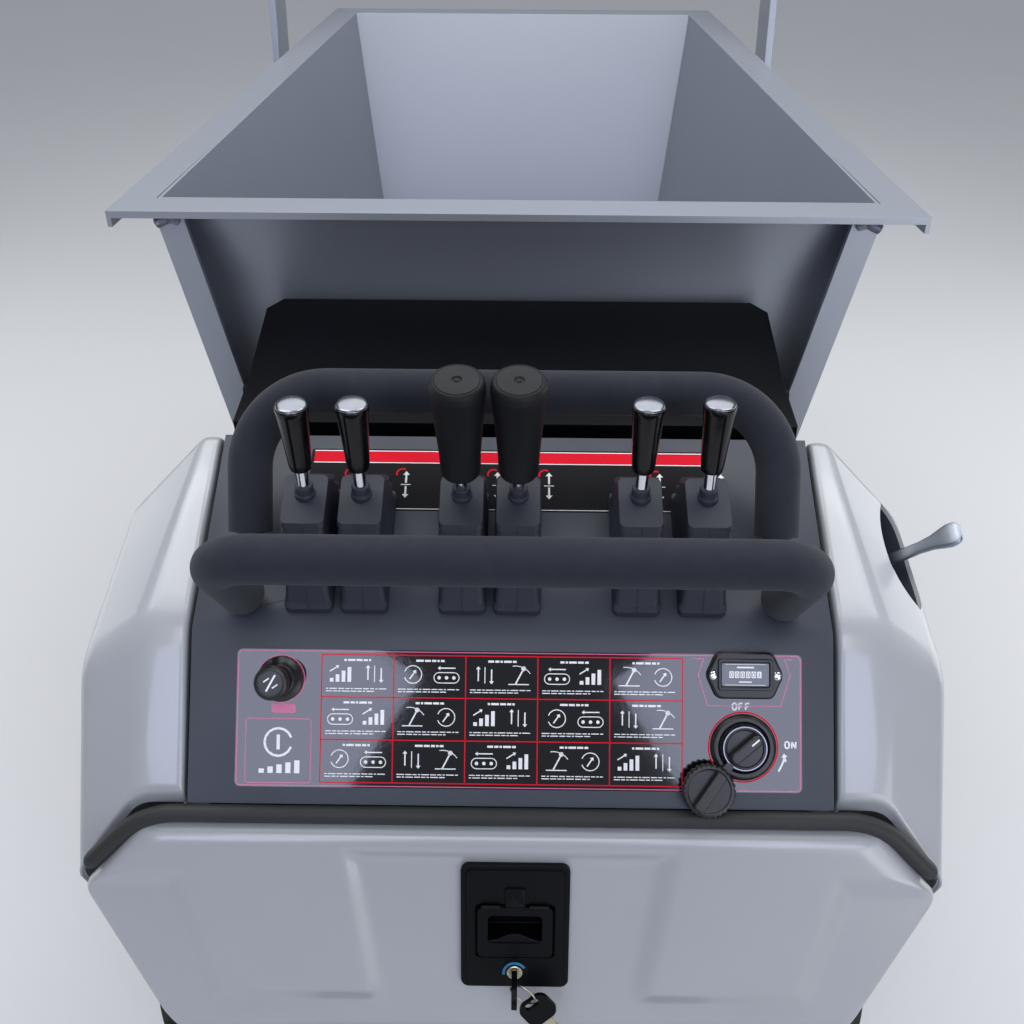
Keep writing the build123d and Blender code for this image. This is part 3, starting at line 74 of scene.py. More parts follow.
def sloping_frame(x, y, z, slope):
    """A frame in millimetres whose Y runs up a face that slopes forward, and Z stands off it."""
    place = Matrix.Translation((x * MM, y * MM + rear_edge, z * MM))
    return place @ Matrix.Rotation(radians(slope), 4, "X") @ Matrix.Scale(MM, 4)


def shifted(base, x=0, y=0, z=0, turn=0):
    """The same frame moved in its own millimetres, then turned about its own Z."""
    return base @ Matrix.Translation((x, y, z)) @ Matrix.Rotation(radians(turn), 4, "Z")


drawing = sloping_frame(0, 0, 0, 0)
lower_slope = 52.1
lower_length = 164.6
upper_slope = 25
panel_bottom = (390, 754)
panel_lean = radians(upper_slope)
cover_top = (376, 740)
cover_slope = 69.86
latch_x = 6
bend_y = panel_bottom[0] + lower_length * cos(radians(lower_slope))
bend_z = panel_bottom[1] + lower_length * sin(radians(lower_slope))
lower_face = sloping_frame(0, *panel_bottom, lower_slope)
upper_face = sloping_frame(0, bend_y, bend_z, upper_slope)
latch_face = sloping_frame(latch_x, *cover_top, cover_slope)
print("the console folds at", round(bend_y, 1), round(bend_z, 1), "mm")

# %% [markdown]
# Most finishes here are one recipe: a base colour that drifts a little, a roughness that drifts
# with it, and a fine grain that tilts the light. Only the numbers tell paint from rubber. One
# function adds a node with its settings and links, and colours are written as they are picked on
# a screen and turned to linear light once. Painted images would also do, but noise needs no unwrapped
# mesh. The grain of paint and rubber is really well under a millimetre. It is drawn at a millimetre
# or more, because nothing finer shows from where the camera stands.

# %% Node and colour helpers
def linear(hex_colour):
    """An sRGB hex colour as linear red, green, blue and alpha."""
    channels = [int(hex_colour[i:i + 2], 16) / 255 for i in (1, 3, 5)]
    return tuple(c / 12.92 if c <= 0.04045 else ((c + 0.055) / 1.055) ** 2.4 for c in channels) + (1,)


def add_node(tree, kind, inputs, **settings):
    """Adds a node, sets what it is told, and feeds its inputs from values or sockets."""
    node = tree.nodes.new(kind)
    for name, value in settings.items():
        setattr(node, name, value)
    for name, value in inputs.items():
        if isinstance(value, bpy.types.NodeSocket):
            tree.links.new(value, node.inputs[name])
        else:
            node.inputs[name].default_value = value
    return node


def finish(name, colour, drift_colour, roughness, grain_mm, depth_mm, drift_mm=90, spread=0.06, **shader):
    """A procedural surface: drifting colour and roughness, and a grain of a real size."""
    material = bpy.data.materials.new(name)
    material.use_nodes = True
    tree = material.node_tree
    principled = tree.nodes["Principled BSDF"]
    place = add_node(tree, "ShaderNodeTexCoord", {}).outputs["Object"]
    drift = add_node(tree, "ShaderNodeTexNoise", {"Vector": place, "Scale": 1000 / drift_mm, "Detail": 5.0})
    grain = add_node(tree, "ShaderNodeTexNoise", {"Vector": place, "Scale": 1000 / grain_mm, "Detail": 3.0})
    mixed = add_node(
        tree,
        "ShaderNodeMix",
        {0: drift.outputs["Fac"], 6: linear(colour), 7: linear(drift_colour)},
        data_type="RGBA",
    )
    rough = add_node(
        tree,
        "ShaderNodeMapRange",
        {"Value": drift.outputs["Fac"], "From Min": 0.1, "From Max": 0.9,
         "To Min": roughness - spread, "To Max": roughness + spread},
    )
    bump = add_node(
        tree,
        "ShaderNodeBump",
        {"Height": grain.outputs["Fac"], "Strength": 1.0, "Distance": depth_mm * MM},
    )
    tree.links.new(mixed.outputs[2], principled.inputs["Base Color"])
    tree.links.new(rough.outputs["Result"], principled.inputs["Roughness"])
    tree.links.new(bump.outputs["Normal"], principled.inputs["Normal"])
    for socket, value in shader.items():
        principled.inputs[socket.replace("_", " ")].default_value = value
    return material


print("one recipe for the finishes")

# %% [markdown]
# The large surfaces first. The body is moulded plastic, the skip is powder-coated sheet, and the
# console, hood and chassis are painted steel. Plastics and paints keep an IOR of 1.5, which is
# typical of them, and differ in gloss: how sharply they mirror the lamps.

# %% Body and paint materials
# ABS from a polished mould, silver pigment under a clear skin: lamps show almost sharply
body_abs = finish("moulded_silver_abs", "#A3A6AB", "#9DA0A5", 0.3, 9, 0.012, spread=0.03,
                  Metallic=0.06, Coat_Weight=0.5, Coat_Roughness=0.08)
# Powder coat with metal flake: dark where it faces the dark, bright where it faces a lamp
skip_paint = finish("silver_powder_coat", "#9EA3AD", "#989DA7", 0.36, 2.4, 0.012, drift_mm=300, spread=0.015,
                    Metallic=0.6)
# Textured satin coat on folded sheet: no mirror, but a broad sheen along the fold
console_paint = finish("textured_satin_coat", "#393E4A", "#323742", 0.46, 1.3, 0.03, Specular_IOR_Level=0.4)
# Satin enamel in deep black: only a faint gleam at low angles
hood_paint = finish("satin_black_enamel", "#06070A", "#08090C", 0.42, 7, 0.01, Specular_IOR_Level=0.12)
# Sprayed chassis paint: a plain dark half gloss
chassis_paint = finish("black_chassis_paint", "#1B1C1E", "#242527", 0.42, 2.2, 0.02)
print("body paints ready")

# %% [markdown]
# What the hands and the ground touch. Rubber and foam scatter light at the surface, so they stay
# dark and soft at any angle, and a little sheen gives the foam its dusty edge. Hard plastics of the
# same black are told apart by their small, sharp glints.

# %% Rubber, foam and plastic
# Closed-cell foam, cut through its cells: dull, with a dusty edge
foam = finish("closed_cell_foam", "#282B34", "#21232C", 0.92, 1.6, 0.25, drift_mm=14,
              Specular_IOR_Level=0.2, Sheen_Weight=0.07, Sheen_Roughness=0.6)
# Moulded rubber: dark grey with a soft gleam on each fold
boot_rubber = finish("moulded_boot_rubber", "#2D313C", "#252934", 0.5, 1.4, 0.04, Specular_IOR_Level=0.35)
# Soft rubber with a fine texture: nearly black, its gleam broken up
grip_rubber = finish("soft_grip_rubber", "#111216", "#0C0D10", 0.55, 1.1, 0.04, drift_mm=30,
                     Specular_IOR_Level=0.25)
# Extruded rubber: even and dull along its whole length
seal_rubber = finish("extruded_seal_rubber", "#232426", "#1A1B1D", 0.6, 1.5, 0.03)
# Track rubber worn by the ground: the dullest surface, with brownish patches
track_rubber = finish("track_rubber", "#1D1D1E", "#2A2927", 0.72, 3.2, 0.12, drift_mm=60)
# Phenolic resin, buffed after moulding: deep black with sharp highlights
knob_phenolic = finish("polished_phenolic", "#060608", "#09090B", 0.2, 20, 0.004, spread=0.03,
                       Specular_IOR_Level=0.3)
# Nylon from a grained mould: black with a short, dull gleam
latch_nylon = finish("black_nylon", "#050609", "#08090C", 0.4, 1.2, 0.015, drift_mm=30,
                     Specular_IOR_Level=0.14)
# Smooth moulded plastic: black, with glints on small edges
switch_plastic = finish("black_switch_plastic", "#131315", "#1A1A1C", 0.32, 1.0, 0.01, drift_mm=25)
# Dyed plastic: an even blue
blue_plastic = finish("blue_lock_ring", "#2F7FB4", "#276C9C", 0.3, 2, 0.01, drift_mm=12)
print("soft materials ready")

# %% [markdown]
# Bare metals are fully metallic: all their colour is in the reflection, and they keep the default
# IOR. The film on the console is lacquered, so it mirrors the lamps. White and faded red lie under
# the same lacquer and pale where it shines, while the bright red is printed on top and stays red.

# %% Metals and inks
# Chrome plate on polished steel: mirrors the lamps and goes dark between them
chrome = finish("polished_chrome", "#DADBDE", "#CFD0D4", 0.1, 14, 0.003, spread=0.03, Metallic=1.0)
# Hard chrome, ground round: bright, with a slightly wider highlight
hard_chrome = finish("hard_chrome_rod", "#D5D7DA", "#C7C9CD", 0.12, 10, 0.003, spread=0.03, Metallic=1.0)
# Bare cast aluminium: grey, with a grainy highlight
cast_metal = finish("cast_aluminium", "#9CA3AB", "#868D96", 0.34, 1.4, 0.03, drift_mm=20, Metallic=1.0)
# Turned and brushed aluminium: a soft, darker mirror
satin_metal = finish("satin_aluminium", "#7C7F86", "#70737A", 0.2, 3, 0.01, drift_mm=12, Metallic=1.0)
# Nickel silver worn in the pocket: warm and a little dull
key_metal = finish("worn_nickel_silver", "#C9C3AE", "#B3AD96", 0.3, 2, 0.01, drift_mm=12, Metallic=1.0)
# Iron castings dipped in paint: an uneven skin under half gloss
cast_iron = finish("painted_casting", "#232427", "#2E2F32", 0.5, 2.6, 0.06)
# Unpainted engine castings: grey metal with a rough grain
engine_metal = finish("cast_engine_metal", "#7D8186", "#6B6F74", 0.42, 1.6, 0.05, Metallic=1.0)
# Polyester film under clear lacquer: black until it mirrors a lamp, faintly rippled
film_black = finish("lacquered_film", "#101114", "#0D0D10", 0.07, 5, 0.03, spread=0.02,
                    Coat_Weight=0.7, Coat_Roughness=0.03)
# The same film without lacquer: black from every side
film_matt = finish("matt_film", "#0C0D11", "#090A0D", 0.6, 4, 0.01, Specular_IOR_Level=0.15)
# Screen-printed inks: flat colour with no grain of their own
ink_red = finish("red_ink", "#E0142E", "#D61029", 0.6, 5, 0.002, Specular_IOR_Level=0.08)
ink_pink = finish("faded_red_ink", "#CE5F8C", "#C25782", 0.6, 5, 0.002,
                  Coat_Weight=0.6, Coat_Roughness=0.05)
ink_white = finish("white_ink", "#ECECEE", "#E0E0E4", 0.6, 5, 0.002,
                   Coat_Weight=0.6, Coat_Roughness=0.05)
# Painted dial behind a clear window: grey with a glassy gleam
meter_grey = finish("meter_face", "#5B626D", "#525963", 0.35, 2, 0.002, Coat_Weight=0.5)
print(len(bpy.data.materials), "materials")

# %% [markdown]
# A CAD mesh arrives as triangles with knife-sharp edges. Real sheet and mouldings have a radius
# that catches a line of light. A chain of modifiers rounds them and leaves the mesh untouched:
# weld the triangles, join the flat ones, bevel what is left, then even out the shading. A flat face
# with many holes or ribs keeps its triangles, because joined faces can fold over at a hole.

# %% Soften and paint the CAD nodes
def round_edges(piece, radius_mm, steps, angle):
    """A bevel on the edges that are sharper than an angle."""
    bevel = piece.modifiers.new("edge", "BEVEL")
    bevel.width = radius_mm * MM
    bevel.segments = steps
    bevel.limit_method = "ANGLE"
    bevel.angle_limit = radians(angle)
    bevel.miter_outer = "MITER_ARC"
    shade = piece.modifiers.new("shade", "WEIGHTED_NORMAL")
    shade.keep_sharp = True


def soften(piece, radius_mm, join=True):
    """Rounds the sharp edges of a CAD node with modifiers alone."""
    weld = piece.modifiers.new("weld", "WELD")
    weld.merge_threshold = 0.02 * MM
    if join:
        flat = piece.modifiers.new("flat", "DECIMATE")
        flat.decimate_type = "DISSOLVE"
        flat.angle_limit = radians(0.6)
    round_edges(piece, radius_mm, 3, 28)
    for polygon in piece.data.polygons:
        polygon.use_smooth = True


wheels = [f"{side}_{wheel}" for side in ("right", "left")
          for wheel in ("sprocket", "idler", "roller_1", "roller_2", "roller_3")]
coats = [
    (skip_paint, 1.6, ["skip"]),
    (skip_paint, 2, ["loader_arms", "shovel"]),
    (console_paint, 2.2, ["console_panel"]),
    (hood_paint, 4, ["hood"]),
    (chassis_paint, 2, ["chassis_frame", "engine_bay", "track_frames", "step_platform", "rail_tubes"]),
    (chassis_paint, 1.5, ["lift_barrels", "crowd_barrels", "tip_barrel", "travel_motors"]),
    (hard_chrome, 1, ["lift_rods", "crowd_rods", "tip_rod"]),
    (cast_iron, 2, wheels + ["valve_bank"]),
    (engine_metal, 2, ["engine"]),
    (switch_plastic, 6, ["hydraulic_tank"]),
    (track_rubber, 2.5, ["right_belt", "left_belt"]),
    (latch_nylon, 1.2, ["latch_plate", "latch_paddle"]),
    (switch_plastic, 0.8, ["choke_collar", "ignition_switch"]),
]
holed = ["skip", "chassis_frame", "right_belt", "left_belt", "valve_bank", "step_platform", "lift_barrels",
         "console_panel"]
for material, radius, names in coats:
    for name in names:
        nodes[name].data.materials.clear()
        nodes[name].data.materials.append(material)
        soften(nodes[name], radius, name not in holed)
print("painted", sum(len(names) for material, radius, names in coats), "CAD nodes")

# %% [markdown]
# A piece that is rebuilt starts as plain lists of corners and faces. One function joins such lists into
# an object, shades it, and makes it ride on the body that carries it. Blender's operators could build
# the same shapes, but they act on what is selected, while lists can be read and measured.

# %% From corners and faces to a piece
sharp_angle = 35


def new_piece(name, parts, material, body, replaced=(), bevel_mm=0, bend=None):
    """One object from several (corners, faces) lists in metres."""
    corners = []
    faces = []
    for part_corners, part_faces in parts:
        start = len(corners)
        corners += part_corners
        faces += [tuple(start + i for i in face) for face in part_faces]
    mesh = bpy.data.meshes.new(name)
    mesh.from_pydata(corners, [], faces)
    mesh.validate()
    mesh.materials.append(material)
    for polygon in mesh.polygons:
        polygon.use_smooth = True
    mesh.set_sharp_from_angle(angle=radians(sharp_angle))
    piece = bpy.data.objects.new(name, mesh)
    bpy.context.scene.collection.objects.link(piece)
    if bend:
        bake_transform(piece)
    else:
        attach(piece, body)
    if replaced:
        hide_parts(*replaced)
    if bevel_mm:
        round_edges(piece, bevel_mm, 3, 25)
    return piece


print("edges above", sharp_angle, "degrees stay sharp")

# %% [markdown]
# Three ways of making a solid cover nearly everything that is rebuilt here: turn a profile about
# an axis, stack outlines at rising heights, or sweep a circle along a path. All three are rows of
# rings with equally many corners, so one function lays the faces over them.

# %% Turned, stacked and swept solids
def skin(rings, around, loop=False):
    """The faces over rings of equally many corners, closed by end caps or into a loop."""
    faces = []
    for ring in range(rings if loop else rings - 1):
        low = ring * around
        high = (ring + 1) % rings * around
        for i in range(around):
            j = (i + 1) % around
            faces.append((low + i, low + j, high + j, high + i))
    if not loop:
        faces.append(tuple(reversed(range(around))))
        faces.append(tuple((rings - 1) * around + i for i in range(around)))
    return faces


def turned(profile, place, around=72, loop=False):
    """A solid turned about the frame's Z from (radius, height) points."""
    angles = [2 * pi * i / around for i in range(around)]
    corners = [place @ Vector((r * cos(a), r * sin(a), height)) for r, height in profile for a in angles]
    return corners, skin(len(profile), around, loop)


def stacked(rings, place, loop=False):
    """A solid over outlines of equally many points, each at its own height."""
    corners = [place @ Vector((x, y, height)) for outline, height in rings for x, y in outline]
    return corners, skin(len(rings), len(rings[0][0]), loop)


def pushed(outline, low, high, place):
    """A flat outline made solid between two heights."""
    return stacked([(outline, low), (outline, high)], place)


def sleeve(inner, outer, half, place):
    """A short tube about the frame's Z, as for a hinge or a pivot eye."""
    return turned([(inner, -half), (outer, -half), (outer, half), (inner, half)], place, 40, True)


def swept(points, radii, around=32, loop=False):
    """A round bar along points in metres, with a radius in metres at each point."""
    corners = []
    count = len(points)
    start = (points[1] - points[0]).normalized()
    side = Vector((0, 0, 1)) if abs(start.z) < 0.9 else Vector((1, 0, 0))
    for i, point in enumerate(points):
        after = points[(i + 1) % count if loop else min(i + 1, count - 1)]
        before = points[i - 1 if loop else max(i - 1, 0)]
        ahead = (after - before).normalized()
        side = (side - ahead * side.dot(ahead)).normalized()
        across = ahead.cross(side)
        for j in range(around):
            angle = 2 * pi * j / around
            corners.append(point + (side * cos(angle) + across * sin(angle)) * radii[i])
    return corners, skin(count, around, loop)


print("turned, stacked and swept solids ready")

# %% [markdown]
# Outlines come from a few plain shapes. All of them run anticlockwise, so that the faces built
# over them look outward.

# %% Outlines
def rounded_box(width, height, radius, x=0, y=0, steps=6):
    """A rectangle's outline with round corners, about a middle point."""
    outline = []
    for corner, (sx, sy) in enumerate(((1, 1), (-1, 1), (-1, -1), (1, -1))):
        for i in range(steps + 1):
            angle = (corner + i / steps) * pi / 2
            across = sx * (width / 2 - radius) + radius * cos(angle)
            outline.append((x + across, y + sy * (height / 2 - radius) + radius * sin(angle)))
    return outline


def circle(radius, count, x=0, y=0):
    """A circle's outline about a middle point."""
    angles = [2 * pi * i / count for i in range(count)]
    return [(x + radius * cos(a), y + radius * sin(a)) for a in angles]


def eased(points, radius, steps=4):
    """An open line of points with its inner corners rounded, by one radius or one for each corner."""
    radii = radius if isinstance(radius, tuple) else [radius] * (len(points) - 2)
    result = [points[0]]
    for before, corner, after, radius in zip(points, points[1:], points[2:], radii):
        corner = Vector(corner)
        back = Vector(before) - corner
        ahead = Vector(after) - corner
        reach = min(radius, back.length * 0.45, ahead.length * 0.45)
        start = corner + back.normalized() * reach
        end = corner + ahead.normalized() * reach
        for i in range(steps + 1):
            t = i / steps
            result.append(tuple(start * (1 - t) ** 2 + corner * 2 * t * (1 - t) + end * t ** 2))
    result.append(points[-1])
    return result


print("outlines ready")

# %% [markdown]
# The body is moulded plastic: one soft skin with broad rounded ridges, which a CAD edge can't show.
# A cowl is drawn as a coarse net of folds. A subdivision surface would round them all alike. Rounding
# the net's lines first one way and then the other gives a fine grid in which each fold has a softness
# of its own.

# %% Skin of the side cowls
cowl_floor = 471
cowl_inner_x = 309
cowl_foot_x = 415
cowl_foot_y = 440
flange_back = 14
flange_drop = 30
lip_drop = 17
lip_corner = (418, 378, 668)
lip_foot_y = 452
folds_across = (7, 16, 17)
folds_along = (7, 22, 18, 14)
ridge_line = [(354, 396, 764), (352, 488, 887), (326, 694, 982), (336, 729, 868), (342, 848, 868)]
outer_line = [(420, 369, 676), (418, 481, 850), (408, 658, 906), (413, 748, 790), (416, 848, 780)]


def grid_faces(across, count):
    """The faces of a net of corners listed row by row."""
    starts = [i for i in range(count - across) if i % across < across - 1]
    return [(i, i + 1, i + across + 1, i + across) for i in starts]


def cowl_sheet(side):
    """The cowl's skin: rows run from the seal to the tail, columns from the console outward."""
    rows = []
    for (rx, ry, rz), (ox, oy, oz) in zip(ridge_line, outer_line):
        flange = (cowl_inner_x, ry + flange_back, rz - flange_drop)
        foot = (cowl_foot_x, max(oy, cowl_foot_y), cowl_floor)
        rows.append([flange, (cowl_inner_x, ry, rz), (rx, ry, rz), (ox, oy, oz), foot])
    lip = [(x, y + 1, z - lip_drop) for x, y, z in rows[0][:3]]
    rows.insert(0, lip + [lip_corner, (cowl_foot_x, lip_foot_y, cowl_floor)])
    soft_rows = [eased(row, folds_across, 6) for row in rows]
    soft_columns = [eased(column, folds_along, 6) for column in zip(*soft_rows)]
    soft_rows = list(zip(*soft_columns))
    corners = [drawing @ Vector((side * x, y, z)) for row in soft_rows for x, y, z in row]
    return corners, [face[::side] for face in grid_faces(len(soft_columns), len(corners))]


print("cowl folds of", folds_across, "and", folds_along, "mm")

# %% [markdown]
# A moulding has a wall of even thickness and openings with clean edges. A solidify modifier gives the
# sheet its wall, and a boolean cuts each opening. The result goes into the mesh at once, because the
# cutters are thrown away again.

# %% Walls and openings
moulding_wall = 4


def moulded(piece, cutters=()):
    """Gives a sheet its wall, cuts openings, and puts the result in its mesh."""
    wall = piece.modifiers.new("wall", "SOLIDIFY")
    wall.thickness = moulding_wall * MM
    tools = []
    for corners, faces in cutters:
        mesh = bpy.data.meshes.new("cutter")
        mesh.from_pydata(corners, [], faces)
        tools.append(bpy.data.objects.new("cutter", mesh))
        bpy.context.scene.collection.objects.link(tools[-1])
        piece.modifiers.new("cut", "BOOLEAN").object = tools[-1]
    bpy.context.view_layer.update()
    finished = piece.evaluated_get(bpy.context.evaluated_depsgraph_get())
    mesh = bpy.data.meshes.new_from_object(finished)
    piece.modifiers.clear()
    piece.data = mesh
    for tool in tools:
        bpy.data.objects.remove(tool)
    for polygon in mesh.polygons:
        polygon.use_smooth = True
    mesh.set_sharp_from_angle(angle=radians(sharp_angle))


print("mouldings with a wall of", moulding_wall, "mm")

# %% [markdown]
# The right-hand cowl has a slot for the throttle, an oval with pointed ends. It lies about square to
# the lever, so its frame is built from the direction in which the lever comes out. The left-hand cowl
# is the same skin mirrored, without the slot.

# %% Cowls and the throttle slot
throttle_lean = radians(48)
throttle_out = Vector((sin(throttle_lean), -0.55 * sin(panel_lean), cos(throttle_lean))).normalized()
slot_across = throttle_out.cross(Vector((0, cos(panel_lean), sin(panel_lean)))).normalized()
slot_turn = Matrix((slot_across.cross(throttle_out), slot_across, throttle_out)).transposed().to_4x4()
slot_middle = (388, bend_y + 116, bend_z + 2)
slot_frame = shifted(drawing @ Matrix.Translation(slot_middle) @ slot_turn, -2, 5, 0, 3)
slot_half = 64
slot_wide = 20
slot_points = 48


def pointed_oval(grow):
    """The slot's outline, made larger by a margin."""
    outline = []
    for i in range(slot_points):
        along = cos(2 * pi * i / slot_points)
        across = (1 if i < slot_points / 2 else -1) * (1 - along ** 2) ** 0.8
        outline.append(((slot_half + grow) * along, (slot_wide + grow) * across))
    return outline


for side, name in ((-1, "left"), (1, "right")):
    cowl = new_piece(name + "_side_cowl", [cowl_sheet(side)], body_abs, "chassis",
                     [name + "_cowl"])
    moulded(cowl, [pushed(pointed_oval(0), -30, 70, slot_frame)] if side > 0 else [])
print("two cowls, the right one with a slot of", 2 * slot_half, "by", 2 * slot_wide, "mm")

# %% [markdown]
# A black rubber skirt hangs under the slot's edge. Its dark rubber is partly the dark guide inside the
# cowl and partly painted shade: it stands for the shadow inside the cowl, seen through the slot. A
# shrinkwrap modifier could fit its top to the skin. Casting a ray at the cowl for every point of the outline
# does the same in a few lines, and leaves the lower edge free to be set apart by a plain depth.

# %% Throttle slot skirt
bpy.context.view_layer.update()
skirt_inner = 0.4
skirt_outer = 2.8
skirt_top = 4.1
skirt_bottom = 24
ray_start = 100
skirt_rings = [(skirt_inner, skirt_top), (skirt_inner, skirt_bottom),
               (skirt_outer, skirt_bottom), (skirt_outer, skirt_top)]
skirt_corners = []
for grow, depth in skirt_rings:
    for (x, y), (far_x, far_y) in zip(pointed_oval(grow), pointed_oval(skirt_outer)):
        above = slot_frame @ Vector((far_x, far_y, ray_start))
        on_skin = cowl.ray_cast(above, -throttle_out)[1]
        skin_height = (slot_frame.inverted() @ on_skin).z
        skirt_corners.append(slot_frame @ Vector((x, y, skin_height - depth)))
skirt = (skirt_corners, skin(len(skirt_rings), slot_points, True))
# dark rubber: partly a real dark lining, partly painted shade for the inside of the slot
new_piece("throttle_slot_shade_skirt", [skirt], boot_rubber, "chassis")
print("skirt", round(skirt_bottom - skirt_top, 1), "mm deep")

# %% [markdown]
# The rear cover is a moulded door. It has a raised field with a sunk middle, and nothing on it is
# sharp. A subdivided cage would round it, but its edges would creep. So the face is a fine grid whose
# height is worked out at each point: smooth steps along the borders of the fields, and a quarter
# circle where the edge rolls over.

# %% Face of the rear cover
cover_side = eased([cover_top, (296, 522), (344, 438)], 30, 8)
cover_edge = eased([(0, 740), (347, 740), (410, 676), (331, 522), (292, 438)], 12, 6)
cover_roll = 8
field_height = 7
field_top = -6
shoulder_foot = -56
flank_foot = -182
middle_top = -26
shoulder_line = (336, -6, 386, -54)
flank_line = (318, -58, 285, -188)
middle_line = (150, -32, 124, -211)


def step(distance, softness=24):
    """Rises smoothly from 0 to 1 as a distance passes zero."""
    t = min(max(distance / softness + 0.5, 0), 1)
    return t * t * (3 - 2 * t)


def inside(x, y, x0, y0, x1, y1):
    """How far a point lies inward of a line that runs down the right-hand side."""
    return ((x - x0) * (y1 - y0) - (y - y0) * (x1 - x0)) / Vector((x1 - x0, y1 - y0)).length


def field(x, y):
    """The height of the raised field at a point on the sloping face."""
    x = abs(x)
    shoulder = min(field_top - y, y - shoulder_foot, inside(x, y, *shoulder_line))
    flank = min(field_top - y, y - flank_foot, inside(x, y, *flank_line))
    middle = min(middle_top - y, inside(x, y, *middle_line))
    return field_height * max(step(shoulder), step(flank)) * (1 - step(middle))


def edge_reach(z):
    """Half the cover's width at a height."""
    for (x0, z0), (x1, z1) in zip(cover_edge, cover_edge[1:]):
        if z0 >= z >= z1 and z0 > z1:
            return x0 + (x1 - x0) * (z0 - z) / (z0 - z1)
    return cover_edge[-1][0]


def cover_sheet():
    """The cover's face as a grid of points from its top edge to its foot."""
    bends = [Vector(point) for point in cover_side]
    lengths = [(b - a).length for a, b in zip(bends, bends[1:])]
    whole = sum(lengths)
    rolled = [cover_roll * share for share in (0, 0.08, 0.22, 0.42, 0.68, 1)]
    middle_rows = 80
    half_columns = 90
    spans = [cover_roll + (whole - 2 * cover_roll) * i / middle_rows for i in range(1, middle_rows)]
    corners = []
    for down in rolled + spans + [whole - d for d in rolled[::-1]]:
        place = down
        i = 0
        while i < len(lengths) - 1 and place > lengths[i]:
            place -= lengths[i]
            i += 1
        ahead = (bends[i + 1] - bends[i]).normalized()
        y, z = bends[i] + ahead * place
        reach = edge_reach(z)
        flat = [(reach - cover_roll) * (1 - i / half_columns) for i in range(1, half_columns + 1)]
        half = [reach - d for d in rolled] + flat
        for x in half + [-x for x in half[-2::-1]]:
            edge = min(reach - abs(x), down, whole - down, cover_roll)
            roll = cover_roll - (cover_roll ** 2 - (cover_roll - edge) ** 2) ** 0.5
            height = field(x, -down) * edge / cover_roll - roll
            corners.append(drawing @ Vector((x, y + ahead.y * height, z - ahead.x * height)))
    return corners, grid_faces(2 * len(half) - 1, len(corners))


print("cover face with a field", field_height, "mm high")

# %% [markdown]
# The cover swings down on two hinges at its foot. Its latch and lock come through openings, which are
# cut once the sheet has its wall. The knuckles are short tubes with a leaf that reaches the back of the
# cover. They are a piece of their own on the same body, because their edges are bevelled.

# %% Cover with openings and knuckles
finger_y = -102
lock_y = -150
cut_reach = 14
hinge_pin = (368, 446)
knuckle_half = 30
knuckle_x = 200
finger_hole = pushed(rounded_box(59, 37, 1, 0, finger_y), -cut_reach, cut_reach, latch_face)
lock_hole = pushed(circle(10, 32, 0, lock_y), -cut_reach, cut_reach, latch_face)
cover = new_piece("moulded_cover", [cover_sheet()], body_abs, "cover", ["rear_cover"])
moulded(cover, [finger_hole, lock_hole])
side_frame = drawing @ Matrix(((0, 0, 1, 0), (1, 0, 0, 0), (0, 1, 0, 0), (0, 0, 0, 1)))
leaf = [(362, 440), (345, 446), (341, 470), (352, 476), (362, 452)]
knuckles = []
for middle in (-knuckle_x, knuckle_x):
    knuckles.append(sleeve(5.3, 9, knuckle_half, side_frame @ Matrix.Translation((*hinge_pin, middle))))
    knuckles.append(pushed(leaf, middle - knuckle_half, middle + knuckle_half, side_frame))
new_piece("cover_knuckles", knuckles, body_abs, "cover", (), 0.8)
print("cover with", len(knuckles) // 2, "hinge knuckles")

# %% [markdown]
# A bulb of extruded rubber closes the gap above the cover. A curve object with a bevel would give the
# same bar. Sweeping a circle along an eased line by hand also lets the ends be drawn in, as rubber is
# where it is cut.

# %% Cover seal
seal_radius = 8.5


def soft_bar(points, radius):
    """A round bar along points, with ends that roll in."""
    end = ((0, 0.72), (0.06, 0.9), (0.18, 1.0))
    lead = [points[0].lerp(points[1], t) for t, share in end]
    tail = [points[-1].lerp(points[-2], t) for t, share in end[::-1]]
    shares = [share for t, share in end]
    shares += [1.0] * (len(points) - 2) + shares[::-1]
    return swept(lead + points[1:-1] + tail, [radius * MM * share for share in shares], 48)


seal_line = [(347, 384, 747), (402, 364, 697)]
seal_line = [(-x, y, z) for x, y, z in seal_line[::-1]] + seal_line
seal_points = [drawing @ Vector(point) for point in eased(seal_line, 36, 10)]
new_piece("rubber_seal", [soft_bar(seal_points, seal_radius)], seal_rubber, "chassis",
          ["cover_seal"])
print("seal of", 2 * seal_radius, "mm")

# %% [markdown]
# The hand rails wear thick foam sleeves, which an operator leans on. They are the largest soft shapes
# in the picture, and the CAD mesh shows flats on its bends. So they are swept again along the same
# centre line with many more steps, and their open ends are rolled in.

# %% Foam on the hand rails
rail_half_width = 257
foam_radius = 21.5


def hoop_points(along, angle, start, length, bend):
    """The centre line of a hoop that stands on the upper face, in metres."""
    foot_y = bend_y + along * cos(panel_lean)
    foot_z = bend_z + along * sin(panel_lean)
    plane = sloping_frame(0, foot_y, foot_z, angle)
    half = rail_half_width
    leg_steps = 12
    bend_steps = 16
    top_steps = 20
    path = [(-half, start + (length - bend - start) * i / leg_steps) for i in range(leg_steps + 1)]
    for i in range(1, bend_steps + 1):
        turn = pi / 2 * i / bend_steps
        path.append((bend - half - bend * cos(turn), length - bend + bend * sin(turn)))
    path += [((half - bend) * (i / top_steps - 1), length) for i in range(1, top_steps + 1)]
    path += [(-x, y) for x, y in path[-2::-1]]
    return [plane @ Vector((x, y, 0)) for x, y in path]


